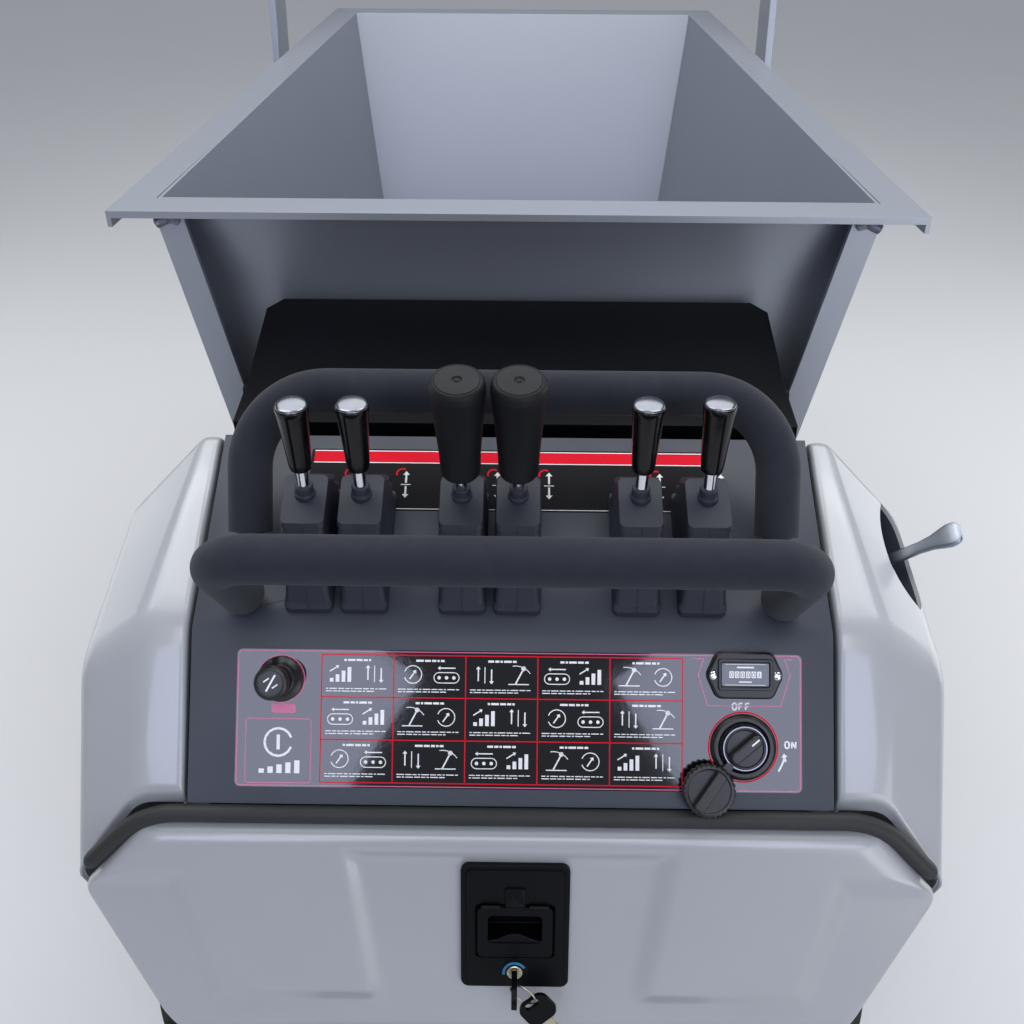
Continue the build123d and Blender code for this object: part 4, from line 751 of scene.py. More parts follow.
rails = {
    "lower_rail_foam": hoop_points(33, 128.5, 18, 150, 40),
    "upper_rail_foam": hoop_points(65, 60, 36, 174, 76),
}
for name, points in rails.items():
    new_piece(name, [soft_bar(points, foam_radius)], foam, "chassis", ["rail_foam"])
print("two foam sleeves of", 2 * foam_radius, "mm")

# %% [markdown]
# Each lever stands in a stepped rubber boot that keeps dirt out of the valve below. A boot is moulded
# in one piece: a stack of rounded rectangles, each shoulder a little wider than the neck below it.
# Its foot is held by the panel and its top by the lever. The boot is left where it stands and rides on
# neither body: a boot that rode on one of them alone would tear away from the other.

# %% Lever boots
boot_height = 80
boot_base_along = 84
boot_top_along = 97
stem_along = 103
boot_width = 46
boot_length = 134
boot_rings = [
    (0, 1.0, 1.0), (7, 1.0, 1.0), (9, 0.93, 0.95), (30, 0.8, 0.87), (32, 0.86, 0.96),
    (54, 0.63, 0.85), (56, 0.7, 0.95), (74, 0.44, 0.85), (75.5, 0.43, 0.92), (80, 0.4, 0.88),
]
levers = [
    ("left_outer", -195, 7, "knob"),
    ("left_inner", -142, 6, "knob"),
    ("left_drive", -48, 11, "grip"),
    ("right_drive", 5, 11, "grip"),
    ("right_inner", 119, 4, "knob"),
    ("right_outer", 182, 2, "knob"),
]
collar = [(0.5, -4), (10, -4), (10, 1), (8.6, 3), (8.6, 10), (7.4, 11.5), (0.5, 11.5)]


def boot(lever, x, lean):
    """One bellows boot on the upper face, with the collar that grips the stem."""
    place = shifted(upper_face, x, boot_base_along)
    rings = []
    for height, long, wide in boot_rings:
        drift = (boot_top_along - boot_base_along) * height / boot_height
        rings.append((rounded_box(boot_width * wide, boot_length * long, 6, 0, drift), height))
    foot = place @ Vector((0, 0, 0))
    top = place @ Vector((0, stem_along - boot_base_along, boot_height))
    leaning = Matrix.Translation(top) @ Matrix.Rotation(radians(lean), 4, "X") @ Matrix.Scale(MM, 4)
    seam = [place @ Vector((0, min(y for x, y in outline) + 0.1, height)) for outline, height in rings]
    parts = [stacked(rings, place), turned(eased(collar, 0.8), leaning, 40)]
    parts.append(swept(seam, [0.7 * MM] * len(seam), 8))
    bend = (lever + "_lever", foot.lerp(top, 0.15), top)
    name = lever + "_boot"
    return new_piece(name, parts, boot_rubber, "chassis", ["lever_boots"], 1.2, bend)


for lever, x, lean, kind in levers:
    boot(lever, x, lean)
print(len(levers), "boots")

# %% [markdown]
# The four small levers carry hard polished knobs with a metal cap, and the two drive levers tall
# soft grips. All are turned parts, so a profile spun about the lever's own axis is the natural way.
# The domed cap has many points because the lamps draw a bright spot on it.

# %% Levers
pivot_to_boot_top = 118
stem_radius = 6
knob_above_boot = 31
grip_above_boot = 30
knob_profile = [(0.5, 0), (10, 0), (11, 8), (12.2, 30), (14.2, 58), (15, 66), (14.9, 69.6), (14.1, 70.6),
                (0.3, 70.6)]
cap_radius = 13.9
cap_base = 70.8
cap_rise = 3
cap_profile = [(0.3, 69.6), (13.7, 69.6), (cap_radius, cap_base)]
cap_angles = [pi / 20 * i for i in range(1, 10)]
cap_profile += [(cap_radius * cos(a), cap_base + cap_rise * sin(a)) for a in cap_angles]
cap_profile.append((0.3, cap_base + cap_rise))
grip_profile = [
    (0.5, 0), (17, 0), (18.5, 3), (19, 24), (21, 52), (23.6, 82), (25, 97), (24.4, 103), (23, 106),
    (21.4, 107.2), (20.6, 106.6), (20, 106.6), (19.4, 107.4), (4.6, 107.8), (3.8, 106.4), (2.4, 106.4),
    (1.8, 107.3), (0.3, 107.5),
]
for lever, x, lean, kind in levers:
    pivot = Matrix.Translation(joints[lever + "_lever_swing"]["pos_m"])
    axis = pivot @ Matrix.Rotation(radians(lean), 4, "X") @ Matrix.Scale(MM, 4)
    rise = pivot_to_boot_top + (knob_above_boot if kind == "knob" else grip_above_boot)
    body = lever + "_lever"
    stem = [(0.3, 10), (stem_radius, 10), (stem_radius, rise + 20), (0.3, rise + 20)]
    eye = sleeve(4.05, 11, 5, axis @ Matrix.Rotation(pi / 2, 4, "Y"))
    new_piece(lever + "_rod", [turned(stem, axis, 40), eye], chrome, body, [lever + "_stem"])
    handle = shifted(axis, z=rise)
    if kind == "knob":
        shape = turned(eased(knob_profile, 1.5), handle)
        new_piece(lever + "_turned_knob", [shape], knob_phenolic, body, [lever + "_knob"])
        new_piece(lever + "_knob_cap", [turned(cap_profile, handle)], satin_metal, body)
    else:
        shape = turned(eased(grip_profile, 1.2), handle)
        new_piece(lever + "_soft_grip", [shape], grip_rubber, body, [lever + "_grip"])
print(len(levers), "levers")

# %% [markdown]
# The lower face carries a printed film under clear lacquer, with thin red dividing lines. Its
# print is a plain operating guide of arrows, rings and bars. Every mark is a very thin solid laid
# on the film, so that it stays crisp at any distance and in any renderer.

# %% Strokes for printing
film_top = 0.25
ink_depth = 0.06


def bar(x0, y0, x1, y1):
    """A rectangle as an outline."""
    return [(x0, y0), (x1, y0), (x1, y1), (x0, y1)]


def line(x0, y0, x1, y1, width):
    """A straight stroke between two points."""
    ahead = Vector((x1 - x0, y1 - y0)).normalized() * width / 2
    return [(x0 + ahead.y, y0 - ahead.x), (x1 + ahead.y, y1 - ahead.x),
            (x1 - ahead.y, y1 + ahead.x), (x0 - ahead.y, y0 + ahead.x)]


def strokes(points, width):
    """A line through several points as strokes."""
    return [line(*a, *b, width) for a, b in zip(points, points[1:])]


def outlined(outline, width):
    """A closed outline drawn as strokes."""
    return strokes(outline + outline[:1], width)


def arc(x, y, radius, width, start, end, pieces=14):
    """Part of a ring as short strokes."""
    angles = [radians(start + (end - start) * i / pieces) for i in range(pieces + 1)]
    points = [(x + radius * cos(a), y + radius * sin(a)) for a in angles]
    return strokes(points, width)


def arrow(x, y, length, turn, width=2.2):
    """A straight arrow about a middle point, pointing up before it is turned."""
    head = width * 2.2
    half = length / 2
    shape = [(-width / 2, -half), (width / 2, -half), (width / 2, half - head), (head * 0.8, half - head),
             (0, half), (-head * 0.8, half - head), (-width / 2, half - head)]
    c, s = cos(radians(turn)), sin(radians(turn))
    return [(x + px * c - py * s, y + px * s + py * c) for px, py in shape]


def printed(name, outlines, material, place, body="chassis", base=film_top):
    """Thin marks on a face, joined into one piece."""
    parts = [pushed(outline, base, base + ink_depth, place) for outline in outlines]
    return new_piece(name, parts, material, body)


print("strokes ready")

# %% [markdown]
# The film itself is a rounded sheet a quarter of a millimetre thick. Its grid of red lines has five
# columns and three rows, and each cell holds two simple pictures with rows of small dashes.

# %% Printed film on the lower face
film_width = 535.7
film_height = 129.4
film_place = shifted(lower_face, 7.15, 80.9)
new_piece("lower_film", [pushed(rounded_box(film_width, film_height, 5), 0.02, film_top, film_place)],
          film_black, "chassis")
border = outlined(rounded_box(film_width - 3, film_height - 3, 4), 0.9)
printed("film_border", border, ink_pink, film_place)
grid_left = -180
grid_step = 68.4
grid_rows = (21, 61, 101, 141)
columns = [grid_left + grid_step * i for i in range(6)]
grid = [bar(x - 0.5, grid_rows[0], x + 0.5, grid_rows[-1]) for x in columns]
grid += [bar(columns[0], y - 0.5, columns[-1], y + 0.5) for y in grid_rows]
printed("film_grid", grid, ink_red, lower_face)
meter_frame = [(173, 141), (182, 141), (177, 126), (186, 97), (255, 97), (264, 126), (259, 141), (267, 141)]
side_frames = strokes(meter_frame, 0.8)
side_frames += outlined(rounded_box(62, 60, 3, -220, 50), 0.8)
printed("film_side_frames", side_frames, ink_pink, lower_face)
print("film of", film_width, "by", film_height, "mm")

# %% [markdown]
# The film's pictures are signs that anyone can read: a dial, a pair of arrows, a track, a lever and
# rising bars. They could be an image on the film, but strokes with a thickness need no image file
# and keep their edges. Each picture is drawn once about its own middle, then scaled into a cell.

# %% Pictures on the film
def picture(kind):
    """One of five simple pictures, drawn about the origin and about 30 mm wide."""
    if kind == 0:
        return arc(0, 0, 12, 1.3, 200, 520) + [arrow(0, 0, 15, -35, 1.8)]
    if kind == 1:
        return [arrow(-9, 2, 20, 0, 1.8), arrow(9, -2, 20, 180, 1.8), bar(-0.6, -11, 0.6, 11)]
    if kind == 2:
        belt = outlined(rounded_box(34, 14, 6.9, 0, -4), 1.2)
        rollers = [circle(2.4, 12, spot, -4) for spot in (-10, 0, 10)]
        return belt + rollers + [arrow(0, 9, 24, 90, 1.6)]
    if kind == 3:
        lever = [line(-4, -11, 6, 8, 2), circle(3.2, 14, 6.6, 9.4)]
        return lever + arc(-4, -11, 24, 1.1, 35, 100) + [bar(-14, -12.6, 14, -11.2)]
    steps = [bar(-15 + 8 * i, -11, -10 + 8 * i, -6 + 5 * i) for i in range(4)]
    return steps + [arrow(-9, 7, 15, -58, 1.6)]


def placed(outlines, x, y, size):
    """The same outlines made smaller and moved."""
    return [[(x + size * px, y + size * py) for px, py in outline] for outline in outlines]


def dashes(x, y, end, height, first):
    """A row of short bars of uneven length, between two X positions."""
    row = []
    while x + 2 < end:
        length = 2.2 + 1.7 * ((first + len(row)) * 7 % 4)
        row.append(bar(x, y, min(x + length, end), y + height))
        x += length + 1.1
    return row


picture_size = 0.7
picture_rise = 22
picture_apart = 16
marks = []
for row in range(3):
    for column in range(5):
        x = columns[column] + grid_step / 2
        y = grid_rows[row]
        kind = 2 * row + column
        marks += placed(picture(kind % 5), x - picture_apart, y + picture_rise, picture_size)
        marks += placed(picture((kind + 2) % 5), x + picture_apart, y + picture_rise, picture_size)
        marks += dashes(x - 13, y + 34, x + 14, 2, kind)
        marks += dashes(x - 30, y + 7.6, x + 28, 0.9, kind)
        marks += dashes(x - 30, y + 5.2, x + 16, 0.9, kind + 2)
marks += arc(-220, 58, 13, 2.2, 20, 340) + [bar(-221.6, 51, -218.4, 65)]
marks += [bar(-238 + 8.4 * i, 29, -233 + 8.4 * i, 33 + 2 * i) for i in range(5)]
printed("film_pictures", marks, ink_white, lower_face)
print(len(marks), "marks")

# %% [markdown]
# The instruments stand on the film. First the choke: a plastic pull knob on a shaft, in a rubber
# collar. It is a turned part, so one profile spun about its axis gives every small rounding that the
# CAD solid leaves out. A bevel would round all edges alike, and here each has its own radius.

# %% Choke
choke = shifted(lower_face, -218.6, 117.6)
choke_face = 45.5
choke_profile = [(0.3, -45), (4, -45), (4, 20), (9, 22), (10.4, 32), (15.4, 37), (16, 39), (16, 43.5),
                 (14.6, 45.4), (12, 46), (11.4, choke_face), (0.3, choke_face)]
new_piece("choke_pull", [turned(eased(choke_profile, 1), choke)], switch_plastic, "choke",
          ["choke_knob"])
choke_mark = [line(-4, -7.5, 4, 7.5, 1.8), line(-6.5, 1, -1.5, 4.5, 1.3), line(1.5, -4.5, 6.5, -1, 1.3)]
printed("choke_mark", choke_mark, ink_white, choke, "choke", choke_face)
choke_ring = arc(0, 0, 22.4, 1.2, 0, 360, 48)
printed("choke_ring", choke_ring, ink_pink, choke)
printed("choke_tab", [rounded_box(23, 8.5, 2, 3, -28)], ink_pink, choke)
print("choke knob stands", max(height for radius, height in choke_profile), "mm off the face")

# %% [markdown]
# The hour meter counts the engine's running time. Its bezel has six sides, with a raised window and a
# screw at each end. Only the screws are round, so the rest is outlines stacked at rising heights:
# drawing one in a little at the top makes a chamfer. The counting drums are printed on the dial.

# %% Hour meter
meter = shifted(lower_face, 220.3, 126)
half_width = 36.5
half_height = 22
clipped = 10
drum_count = 6
drum_left = -13
drum_step = 5.2
dial_top = 7.3


def bezel_outline(inset):
    """The six-sided bezel, drawn in by an inset, with eased corners."""
    w = half_width - inset
    h = half_height - inset
    corners = [(w, 0), (w - clipped, h), (clipped - w, h), (-w, 0), (clipped - w, -h), (w - clipped, -h)]
    return eased([(w - clipped / 2, -h / 2)] + corners + [(w - clipped / 2, -h / 2 + 0.01)], 5)[1:-1]


case = pushed(rounded_box(52, 32, 2), -28, 0.5, meter)
bezel = stacked([(bezel_outline(0), 0), (bezel_outline(0), 5), (bezel_outline(1.6), 7)], meter)
window_frame = stacked([
    (rounded_box(52, 30, 3, 0, 1), 6.5), (rounded_box(51, 29, 3, 0, 1), 9.4),
    (rounded_box(46, 24, 2, 0, 1), 9.4), (rounded_box(44, 21, 1, 0, 1), 7.1),
], meter, True)
new_piece("meter_bezel", [case, bezel, window_frame], switch_plastic, "chassis",
          ["hour_meter"], 0.5)
new_piece("meter_dial", [pushed(rounded_box(45, 22, 1, 0, 1), 6.9, dial_top, meter)], meter_grey, "chassis")
drum_places = [drum_left + drum_step * i for i in range(drum_count)]
drums = [rounded_box(4.2, 6.2, 0.5, x, 1) for x in drum_places]
rules = [bar(-19, 10.4, 19, 10.9), bar(-19, -8.9, 19, -8.4), bar(-8, 7, 8, 8.6), bar(-6, -6.4, 6, -5.2)]
printed("meter_drums", drums + rules, ink_white, meter, "chassis", dial_top)
digits = [bar(drum_places[-1] - 0.3, -1, drum_places[-1] + 0.3, 3)]
for x in drum_places[:-1]:
    digits += outlined(rounded_box(2, 3.8, 0.9, x, 1), 0.5)
printed("meter_digits", digits, film_black, meter, "chassis", dial_top + ink_depth)
screw_heads = []
for side in (-1, 1):
    head = shifted(meter, side * 30, 0, 0, 20 * side)
    screw_heads.append(turned([(0.3, 6.5), (3.8, 6.5), (3.8, 7.6), (2.6, 8.5), (0.3, 8.8)], head, 32))
    screw_heads.append(pushed(bar(-2.4, -0.4, 2.4, 0.4), 8.4, 8.95, head))
    screw_heads.append(pushed(bar(-0.4, -2.4, 0.4, 2.4), 8.4, 8.95, head))
new_piece("meter_screws", screw_heads, chrome, "chassis")
print("hour meter with", len(drums), "drums")

# %% [markdown]
# The start switch is a dial with a bar across it for the fingers, and a bright ring let into its edge.
# The dial is turned and the bar is a stack of rounded rectangles. They share one piece and overlap,
# because a moulded part has no seam there.

# %% Start switch
switch_place = (219.4, 58.6)
switch = shifted(lower_face, *switch_place)
disc = [(0.3, -24), (8, -24), (8, 3.5), (21.5, 3.5), (22, 8), (20.4, 10.6), (17.6, 11), (17, 9.8),
        (0.3, 9.8)]
grip = shifted(switch, turn=40)
grip_top = 19.8
grip_rings = [
    (rounded_box(37, 13, 5), 9), (rounded_box(36.4, 12, 5), 16), (rounded_box(35, 10.4, 4.6), 18.6),
    (rounded_box(32, 7.4, 3.4), grip_top),
]
new_piece("switch_dial", [turned(eased(disc, 0.8), switch), stacked(grip_rings, grip)], switch_plastic,
          "ignition", ["ignition_knob"], 0.5)
bright_edge = [(19.6, 10.4), (20.6, 10.4), (20.6, 11.2), (19.6, 11.2)]
new_piece("switch_bright_edge", [turned(bright_edge, switch, 72, True)], satin_metal, "ignition")
printed("switch_pointer", [bar(6, -0.8, 15, 0.8)], ink_white, grip, "ignition", grip_top)
printed("switch_ring_print", arc(0, 0, 32.6, 1.4, 0, 360, 60), ink_red, switch)
print("start switch with a dial of", 2 * max(radius for radius, height in disc), "mm")

# %% [markdown]
# Two words tell the switch's positions. Blender's text objects would do, but they bring a font along.
# Three capitals drawn from strokes are enough, and they print like every other mark.

# %% Words at the switch
def letter(kind, x, y, height=6):
    """A capital letter from strokes, on its lower left corner."""
    w = height * 0.62
    o = [(0.2, 0), (0.8, 0), (1, 0.25), (1, 0.75), (0.8, 1), (0.2, 1), (0, 0.75), (0, 0.25), (0.2, 0)]
    lines = {
        "O": [o],
        "F": [[(0, 0), (0, 1.07)], [(0, 1), (0.9, 1)], [(0, 0.54), (0.75, 0.54)]],
        "N": [[(0, 0), (0, 1)], [(0, 1), (1, 0)], [(1, 0), (1, 1)]],
    }
    found = []
    for points in lines[kind]:
        found += strokes([(x + w * px, y + height * py) for px, py in points], 1.5)
    return found


letter_step = 6.2
words = []
for (x, y), word in (((209.5, 93.5), "OFF"), ((259, 58), "ON")):
    for i, kind in enumerate(word):
        words += letter(kind, x + letter_step * i, y)
words += arc(*switch_place, 40, 1.6, -34, -14) + [arrow(258.6, 49, 8, 12, 1.6)]
printed("switch_words", words, ink_white, lower_face)
print(len(words), "strokes of lettering")

# %% [markdown]
# A fluted dust cap hangs on a strap beside the switch. Its flutes are cut all round the edge, so the
# circle's radius is made to dip with a cosine, which is smoother than cutting grooves one by one. The
# flutes fade out toward the top, as they do where a mould has to let go of the part.

# %% Dust cap on its strap
cap = shifted(lower_face, 185, 20, 8)
flutes = 28


def fluted(radius, depth):
    """A circle whose edge is cut by shallow flutes."""
    count = flutes * 6
    outline = []
    for i in range(count):
        reach = radius - depth * (0.5 - 0.5 * cos(2 * pi * i * flutes / count)) ** 2
        outline.append((reach * cos(2 * pi * i / count), reach * sin(2 * pi * i / count)))
    return outline


cap_rings = [
    (fluted(24.4, 1.2), 0.5), (fluted(25, 1.4), 1.2), (fluted(25, 1.4), 7.6), (fluted(24, 0.9), 9),
    (fluted(22.4, 0.2), 9.6), (fluted(20.5, 0), 9.6), (fluted(19.6, 0), 8.8),
]
cap_bar = shifted(cap, turn=55)
bar_rings = [
    (rounded_box(42, 12, 3), 8), (rounded_box(42, 11.4, 3), 14), (rounded_box(41, 10, 2.8), 15.6),
    (rounded_box(39, 8, 2), 16.2),
]
strap = shifted(cap, turn=48.3)
cap_parts = [stacked(cap_rings, cap), stacked(bar_rings, cap_bar)]
cap_parts.append(pushed(rounded_box(13, 8, 2, 26, 0), -2, 3.2, strap))
new_piece("switch_dust_cap", cap_parts, switch_plastic, "chassis", ["dust_cap"], 0.4)
print("dust cap with", flutes, "flutes")

# %% [markdown]
# The upper face has a red band with white edges and a darker printed field below it. The levers
# hide most of it, so the field only carries a few small signs, with the same strokes as before. Its
# film is left matt, because a mirror behind the levers would hide their outlines.

# %% Printed band on the upper face
new_piece("upper_film", [pushed(rounded_box(424, 74, 3, 1, 169), 0.02, film_top, upper_face)], film_matt,
          "chassis")
band_left = -208
band_right = 210
printed("upper_band", [bar(band_left, 190, band_right, 203)], ink_red, upper_face)
white_lines = [(203.2, 204.2), (188.8, 189.8), (133.6, 134.4)]
edges = [bar(band_left, low, band_right, high) for low, high in white_lines]
for lever, x, lean, kind in levers:
    edges += [arrow(x + 31, 172, 14, 0, 2), arrow(x + 31, 154, 14, 180, 2)]
    edges.append(bar(x + 26, 162.4, x + 36, 163.4))
printed("upper_marks", edges, ink_white, upper_face)
signs = []
for lever, x, lean, kind in levers:
    signs += arc(x + 27, 176, 6, 2, 60, 200, 8)
printed("upper_signs", signs, ink_red, upper_face)
print("band on the upper face")

# %% [markdown]
# The latch on the rear cover is black nylon. Its plate steps up inside a narrow flange, and the
# finger opening has an arched lip. The CAD pieces keep the plate and the paddle, and only the steps
# are laid on them: outlines stacked in a loop leave the opening free without a boolean.

# %% Latch details
step_width = 95
step_height = 124
step_y = -101.5
chamfer = 1.4
step_rings = [
    (rounded_box(step_width, step_height, 6, 0, step_y), 5.5),
    (rounded_box(step_width - chamfer, step_height - chamfer, 5.4, 0, step_y), 7.4),
    (rounded_box(77, 59, 5, 0, -105), 7.4), (rounded_box(76, 58, 5, 0, -105), 5.5),
]
new_piece("latch_step", [stacked(step_rings, latch_face, True)], latch_nylon, "cover")
lip_half = 25
lip_steps = 24
lip_foot = -117.5
lip_thin = 2.5
lip_arch = 7.5
lip = [(-lip_half, lip_foot), (lip_half, lip_foot)]
for i in range(lip_steps + 1):
    share = i / lip_steps
    lip.append((lip_half * (1 - 2 * share), lip_foot + lip_thin + lip_arch * sin(pi * share) ** 2))
new_piece("latch_lip", [pushed(lip, 4, 8.6, latch_face)], latch_nylon, "latch", (), 0.7)
tab_rings = [
    (rounded_box(20, 20, 2, 0, -68), 7), (rounded_box(19, 19, 2, 0, -68.2), 9.6),
    (rounded_box(17, 16, 2, 0, -69), 10.4),
]
new_piece("latch_tab", [stacked(tab_rings, latch_face)], latch_nylon, "cover")
lock = shifted(latch_face, 0, lock_y)
lock_face = 9.1
lock_rings = [(7.6, 7.9), (12.4, 7.9), (12.4, 8.7), (11.2, lock_face), (7.6, lock_face)]
new_piece("lock_ring", [turned(lock_rings, lock, 48, True)], latch_nylon, "cover")
lock_mark = arc(0, 0, 10.6, 2.6, 30, 190, 24)
printed("lock_mark", lock_mark, blue_plastic, lock, "cover", lock_face)
print("latch step", step_width, "by", step_height, "mm")

# %% [markdown]
# One key sits in the lock, and a wire ring carries the spare. Heads, blades and ring are made in two
# pieces by material, plastic and metal, which both turn with the lock. A loop of outlines gives a
# head its hole, and the ring leans out of the latch's plane so that it can pass through both holes.

# %% Keys on their ring
head_stand = 34
ring_radius = 13
ring_lean = 35
upright = lock @ Matrix.Translation((0, 0, head_stand)) @ Matrix.Rotation(pi / 2, 4, "Y")
head_outline = rounded_box(42, 22, 10.9, steps=9)
head_hole = circle(4.5, len(head_outline), 4)
head_rings = [(head_outline, -2.7), (head_outline, 2.7), (head_hole, 2.7), (head_hole, -2.7)]
first_head = stacked(head_rings, upright, True)
ring_base = shifted(lock, 8, -9.6, 27.5, -48)
ring_frame = ring_base @ Matrix.Rotation(radians(ring_lean), 4, "X")
spare = shifted(ring_base, ring_radius)
spare_outline = rounded_box(28, 32, 9, 9, 0)
spare_slot = rounded_box(6, 16, 2.9)
spare_rings = [(spare_outline, -2.5), (spare_outline, 2.5), (spare_slot, 2.5), (spare_slot, -2.5)]
spare_head = stacked(spare_rings, spare, True)
new_piece("key_heads", [first_head, spare_head], latch_nylon, "key", ["lock_key"], 0.7)
blade_outline = [(20, -4), (49, -4), (49, 1), (46, 4), (43, 2.4), (40, 4), (37, 2), (34, 4), (31, 3),
                 (28, 4), (20, 4)]
plug = turned([(0.3, -4), (7.45, -4), (7.45, 9.4), (6.6, 10), (0.3, 10)], lock, 40)
first_blade = pushed(bar(-1.2, -3.5, 1.2, 3.5), 8, 16, lock)
wire = [ring_frame @ Vector((x, y, 0)) for x, y in circle(ring_radius, 48)]
spare_blade = pushed(blade_outline, -1.1, 1.1, spare)
metal_parts = [plug, first_blade, spare_blade, swept(wire, [0.9 * MM] * len(wire), 12, True)]
new_piece("key_metal", metal_parts, key_metal, "key")
print("two keys on a ring of", 2 * ring_radius, "mm")

# %% [markdown]
# The throttle is a bare cast lever that comes out of an oval slot in the right-hand cowl and swells
# into a flat thumb pad. Sculpting could shape it, but its width and thickness change along one
# straight line only, so a stack of rounded sections along its length is enough.

# %% Throttle lever
throttle_joint = joints["throttle_swing"]
swing_axis = Vector(throttle_joint["axis"]).normalized()
run = swing_axis.cross(throttle_out)
lever_frame = Matrix((run, swing_axis, throttle_out)).transposed().to_4x4() @ Matrix.Scale(MM, 4)
lever_frame = Matrix.Translation(throttle_joint["pos_m"]) @ lever_frame
sections = [(10, 15, 5), (70, 14, 5), (104, 13, 5.4), (118, 16, 6), (128, 22, 6.6), (136, 26, 6.8),
            (143, 25, 6.2), (147, 20, 5), (149, 12, 3)]
arm_rings = [(rounded_box(wide, thick, thick * 0.48), rise) for rise, wide, thick in sections]
arm = stacked(arm_rings, lever_frame)
boss = sleeve(6.05, 12, 4.5, lever_frame @ Matrix.Rotation(pi / 2, 4, "X"))
new_piece("throttle_cast_lever", [arm, boss], cast_metal, "throttle", ["throttle_lever"])
print("throttle lever", sections[-1][0], "mm from its pin")

# %% [markdown]
# The skip is welded sheet. Small beads where the corner posts meet the rim tell that story. A sculpted
# lump would do, but a swept bar whose radius ripples looks like a run of weld from close up. At the
# top of each post two heavier runs sag at their ends.

# %% Welds on the skip
def bead(start, end, radius):
    """A rippled weld bead between two drawing points."""
    steps = 40
    ripple = 0.18
    points = []
    radii = []
    for i in range(steps + 1):
        points.append(drawing @ Vector(start).lerp(Vector(end), i / steps))
        swell = 1 - ripple + ripple * abs(sin(1.9 * i))
        taper = min(1, 0.3 + i / 3, 0.3 + (steps - i) / 3)
        radii.append(MM * radius * swell * taper)
    return swept(points, radii, 12)


runs = [
    ((372, 880, 1152), (404, 880, 1152), 4.5),
    ((401, 876, 1140), (386, 876, 1147), 6.4),
    ((388, 876, 1147), (374, 877, 1142), 5.4),
    ((404, 882, 1154), (402, 906, 1154), 3.2),
]
beads = []
for side in (-1, 1):
    for (x0, y0, z0), (x1, y1, z1), radius in runs:
        beads.append(bead((side * x0, y0, z0), (side * x1, y1, z1), radius))
new_piece("skip_weld_beads", beads, skip_paint, "skip")
print(len(beads), "weld beads")

# %% [markdown]
# The floor is one pale sheet under the machine, as in a photographer's studio. A curved backdrop would
# hide the horizon, but the camera looks down and never sees it.

# %% Floor
floor_half = 15
floor_mesh = bpy.data.meshes.new("studio_floor")
floor_corners = [(-floor_half, -floor_half, 0), (floor_half, -floor_half, 0),
                 (floor_half, floor_half, 0), (-floor_half, floor_half, 0)]
floor_mesh.from_pydata(floor_corners, [], [(0, 1, 2, 3)])
floor_mesh.materials.append(finish("studio_floor_paint", "#CFD0D2", "#C9CACD", 0.6, 4, 0.01, drift_mm=900))
floor = bpy.data.objects.new("studio_floor", floor_mesh)
bpy.context.scene.collection.objects.link(floor)
print("floor of", 2 * floor_half, "m")

# %% [markdown]
# Glossy paint is drawn by what it mirrors, so large soft lamps do the work of a studio. One hangs
# over the skip, one behind the camera, two at the sides, and two strips put a line of light on the
# ridges of the cowls. Two bluish ones shine back from the lacquered film, and two stand low at the
# rear to light the cover, stronger on the right. A very soft sun and a pale world fill the shadows.

# %% Lamps
def softbox(name, place, aim, width, height, power, tint="#FFFFFF", roll=0):
    """A rectangular lamp at a drawing point, looking at another and rolled about that line."""
    lamp = bpy.data.lights.new(name, "AREA")
    lamp.shape = "RECTANGLE"
    lamp.size = width
    lamp.size_y = height
    lamp.energy = power
    lamp.color = linear(tint)[:3]
    holder = bpy.data.objects.new(name, lamp)
    spot = drawing @ Vector(place)
    holder.location = spot
    turn = (drawing @ Vector(aim) - spot).to_track_quat("-Z", "Y").to_matrix()
    holder.rotation_euler = (turn @ Matrix.Rotation(radians(roll), 3, "Z")).to_euler()
    bpy.context.scene.collection.objects.link(holder)
    return holder


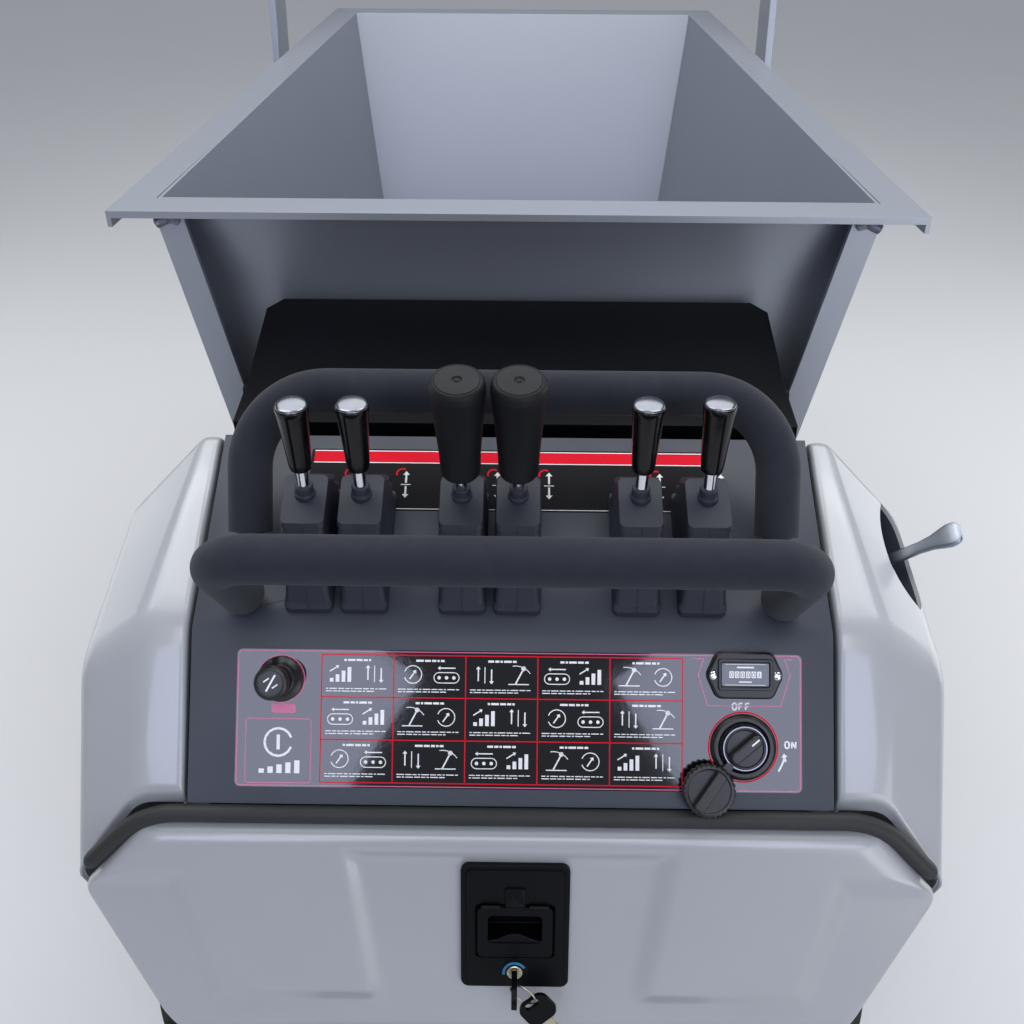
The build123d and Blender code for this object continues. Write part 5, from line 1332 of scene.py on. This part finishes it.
softbox("overhead_softbox", (0, 2300, 3500), (0, 1100, 600), 4.2, 2.6, 66)
softbox("key_softbox", (0, -1900, 3900), (0, 900, 800), 2.6, 1.4, 32)
for side in (-1, 1):
    softbox("side_softbox", (side * 3100, 1700, 1100), (0, 700, 800), 2.6, 1.8, 25 + 6 * side)
    softbox("strip_softbox", (side * 1350, 900, 3300), (side * 400, 700, 800), 0.7, 1.8, 15)
    softbox("film_softbox", (side * 820, -1500, 1900), (0, 500, 820), 0.74, 0.9, 9, "#D0D6F2", 22 * side)
    softbox("rear_softbox", (side * 2100, -2400, 900), (side * 250, 420, 680), 1.9, 1.7, 14 + 13 * side)
sun = bpy.data.lights.new("even_daylight", "SUN")
sun.energy = 0.8
sun.angle = radians(70)
daylight = bpy.data.objects.new("even_daylight", sun)
daylight.rotation_euler = (radians(-24), 0, 0)
bpy.context.scene.collection.objects.link(daylight)
world = bpy.data.worlds.new("pale_studio")
bpy.context.scene.world = world
world.use_nodes = True
world.node_tree.nodes["Background"].inputs["Color"].default_value = linear("#C3CAD6")
world.node_tree.nodes["Background"].inputs["Strength"].default_value = 0.4
print(len(bpy.data.lights), "lamps and a pale surrounding")

# %% [markdown]
# The camera stands where an operator's eyes are, behind and above the console, and looks down by
# about 35 degrees. Its place and angles were worked out from the straight edges of the machine. The
# Standard view transform keeps colours as they are written, where a filmic one would grey them.

# %% Camera and colour
eye_place = (7.7, -304.3, 1572.5)
heading = 0.58
tilt = 55.32
camera_roll = 0.28
optics = bpy.data.cameras.new("operator_view")
optics.sensor_width = 36
optics.lens = 38.67
camera = bpy.data.objects.new("operator_view", optics)
pitch = Matrix.Rotation(radians(heading), 4, "Z") @ Matrix.Rotation(radians(tilt), 4, "X")
roll = Matrix.Rotation(radians(camera_roll), 4, "Z")
camera.matrix_world = Matrix.Translation(drawing @ Vector(eye_place)) @ pitch @ roll
bpy.context.scene.collection.objects.link(camera)
bpy.context.scene.camera = camera
bpy.context.scene.view_settings.view_transform = "Standard"
print("camera", round(eye_place[2] / 1000, 2), "m above the floor")
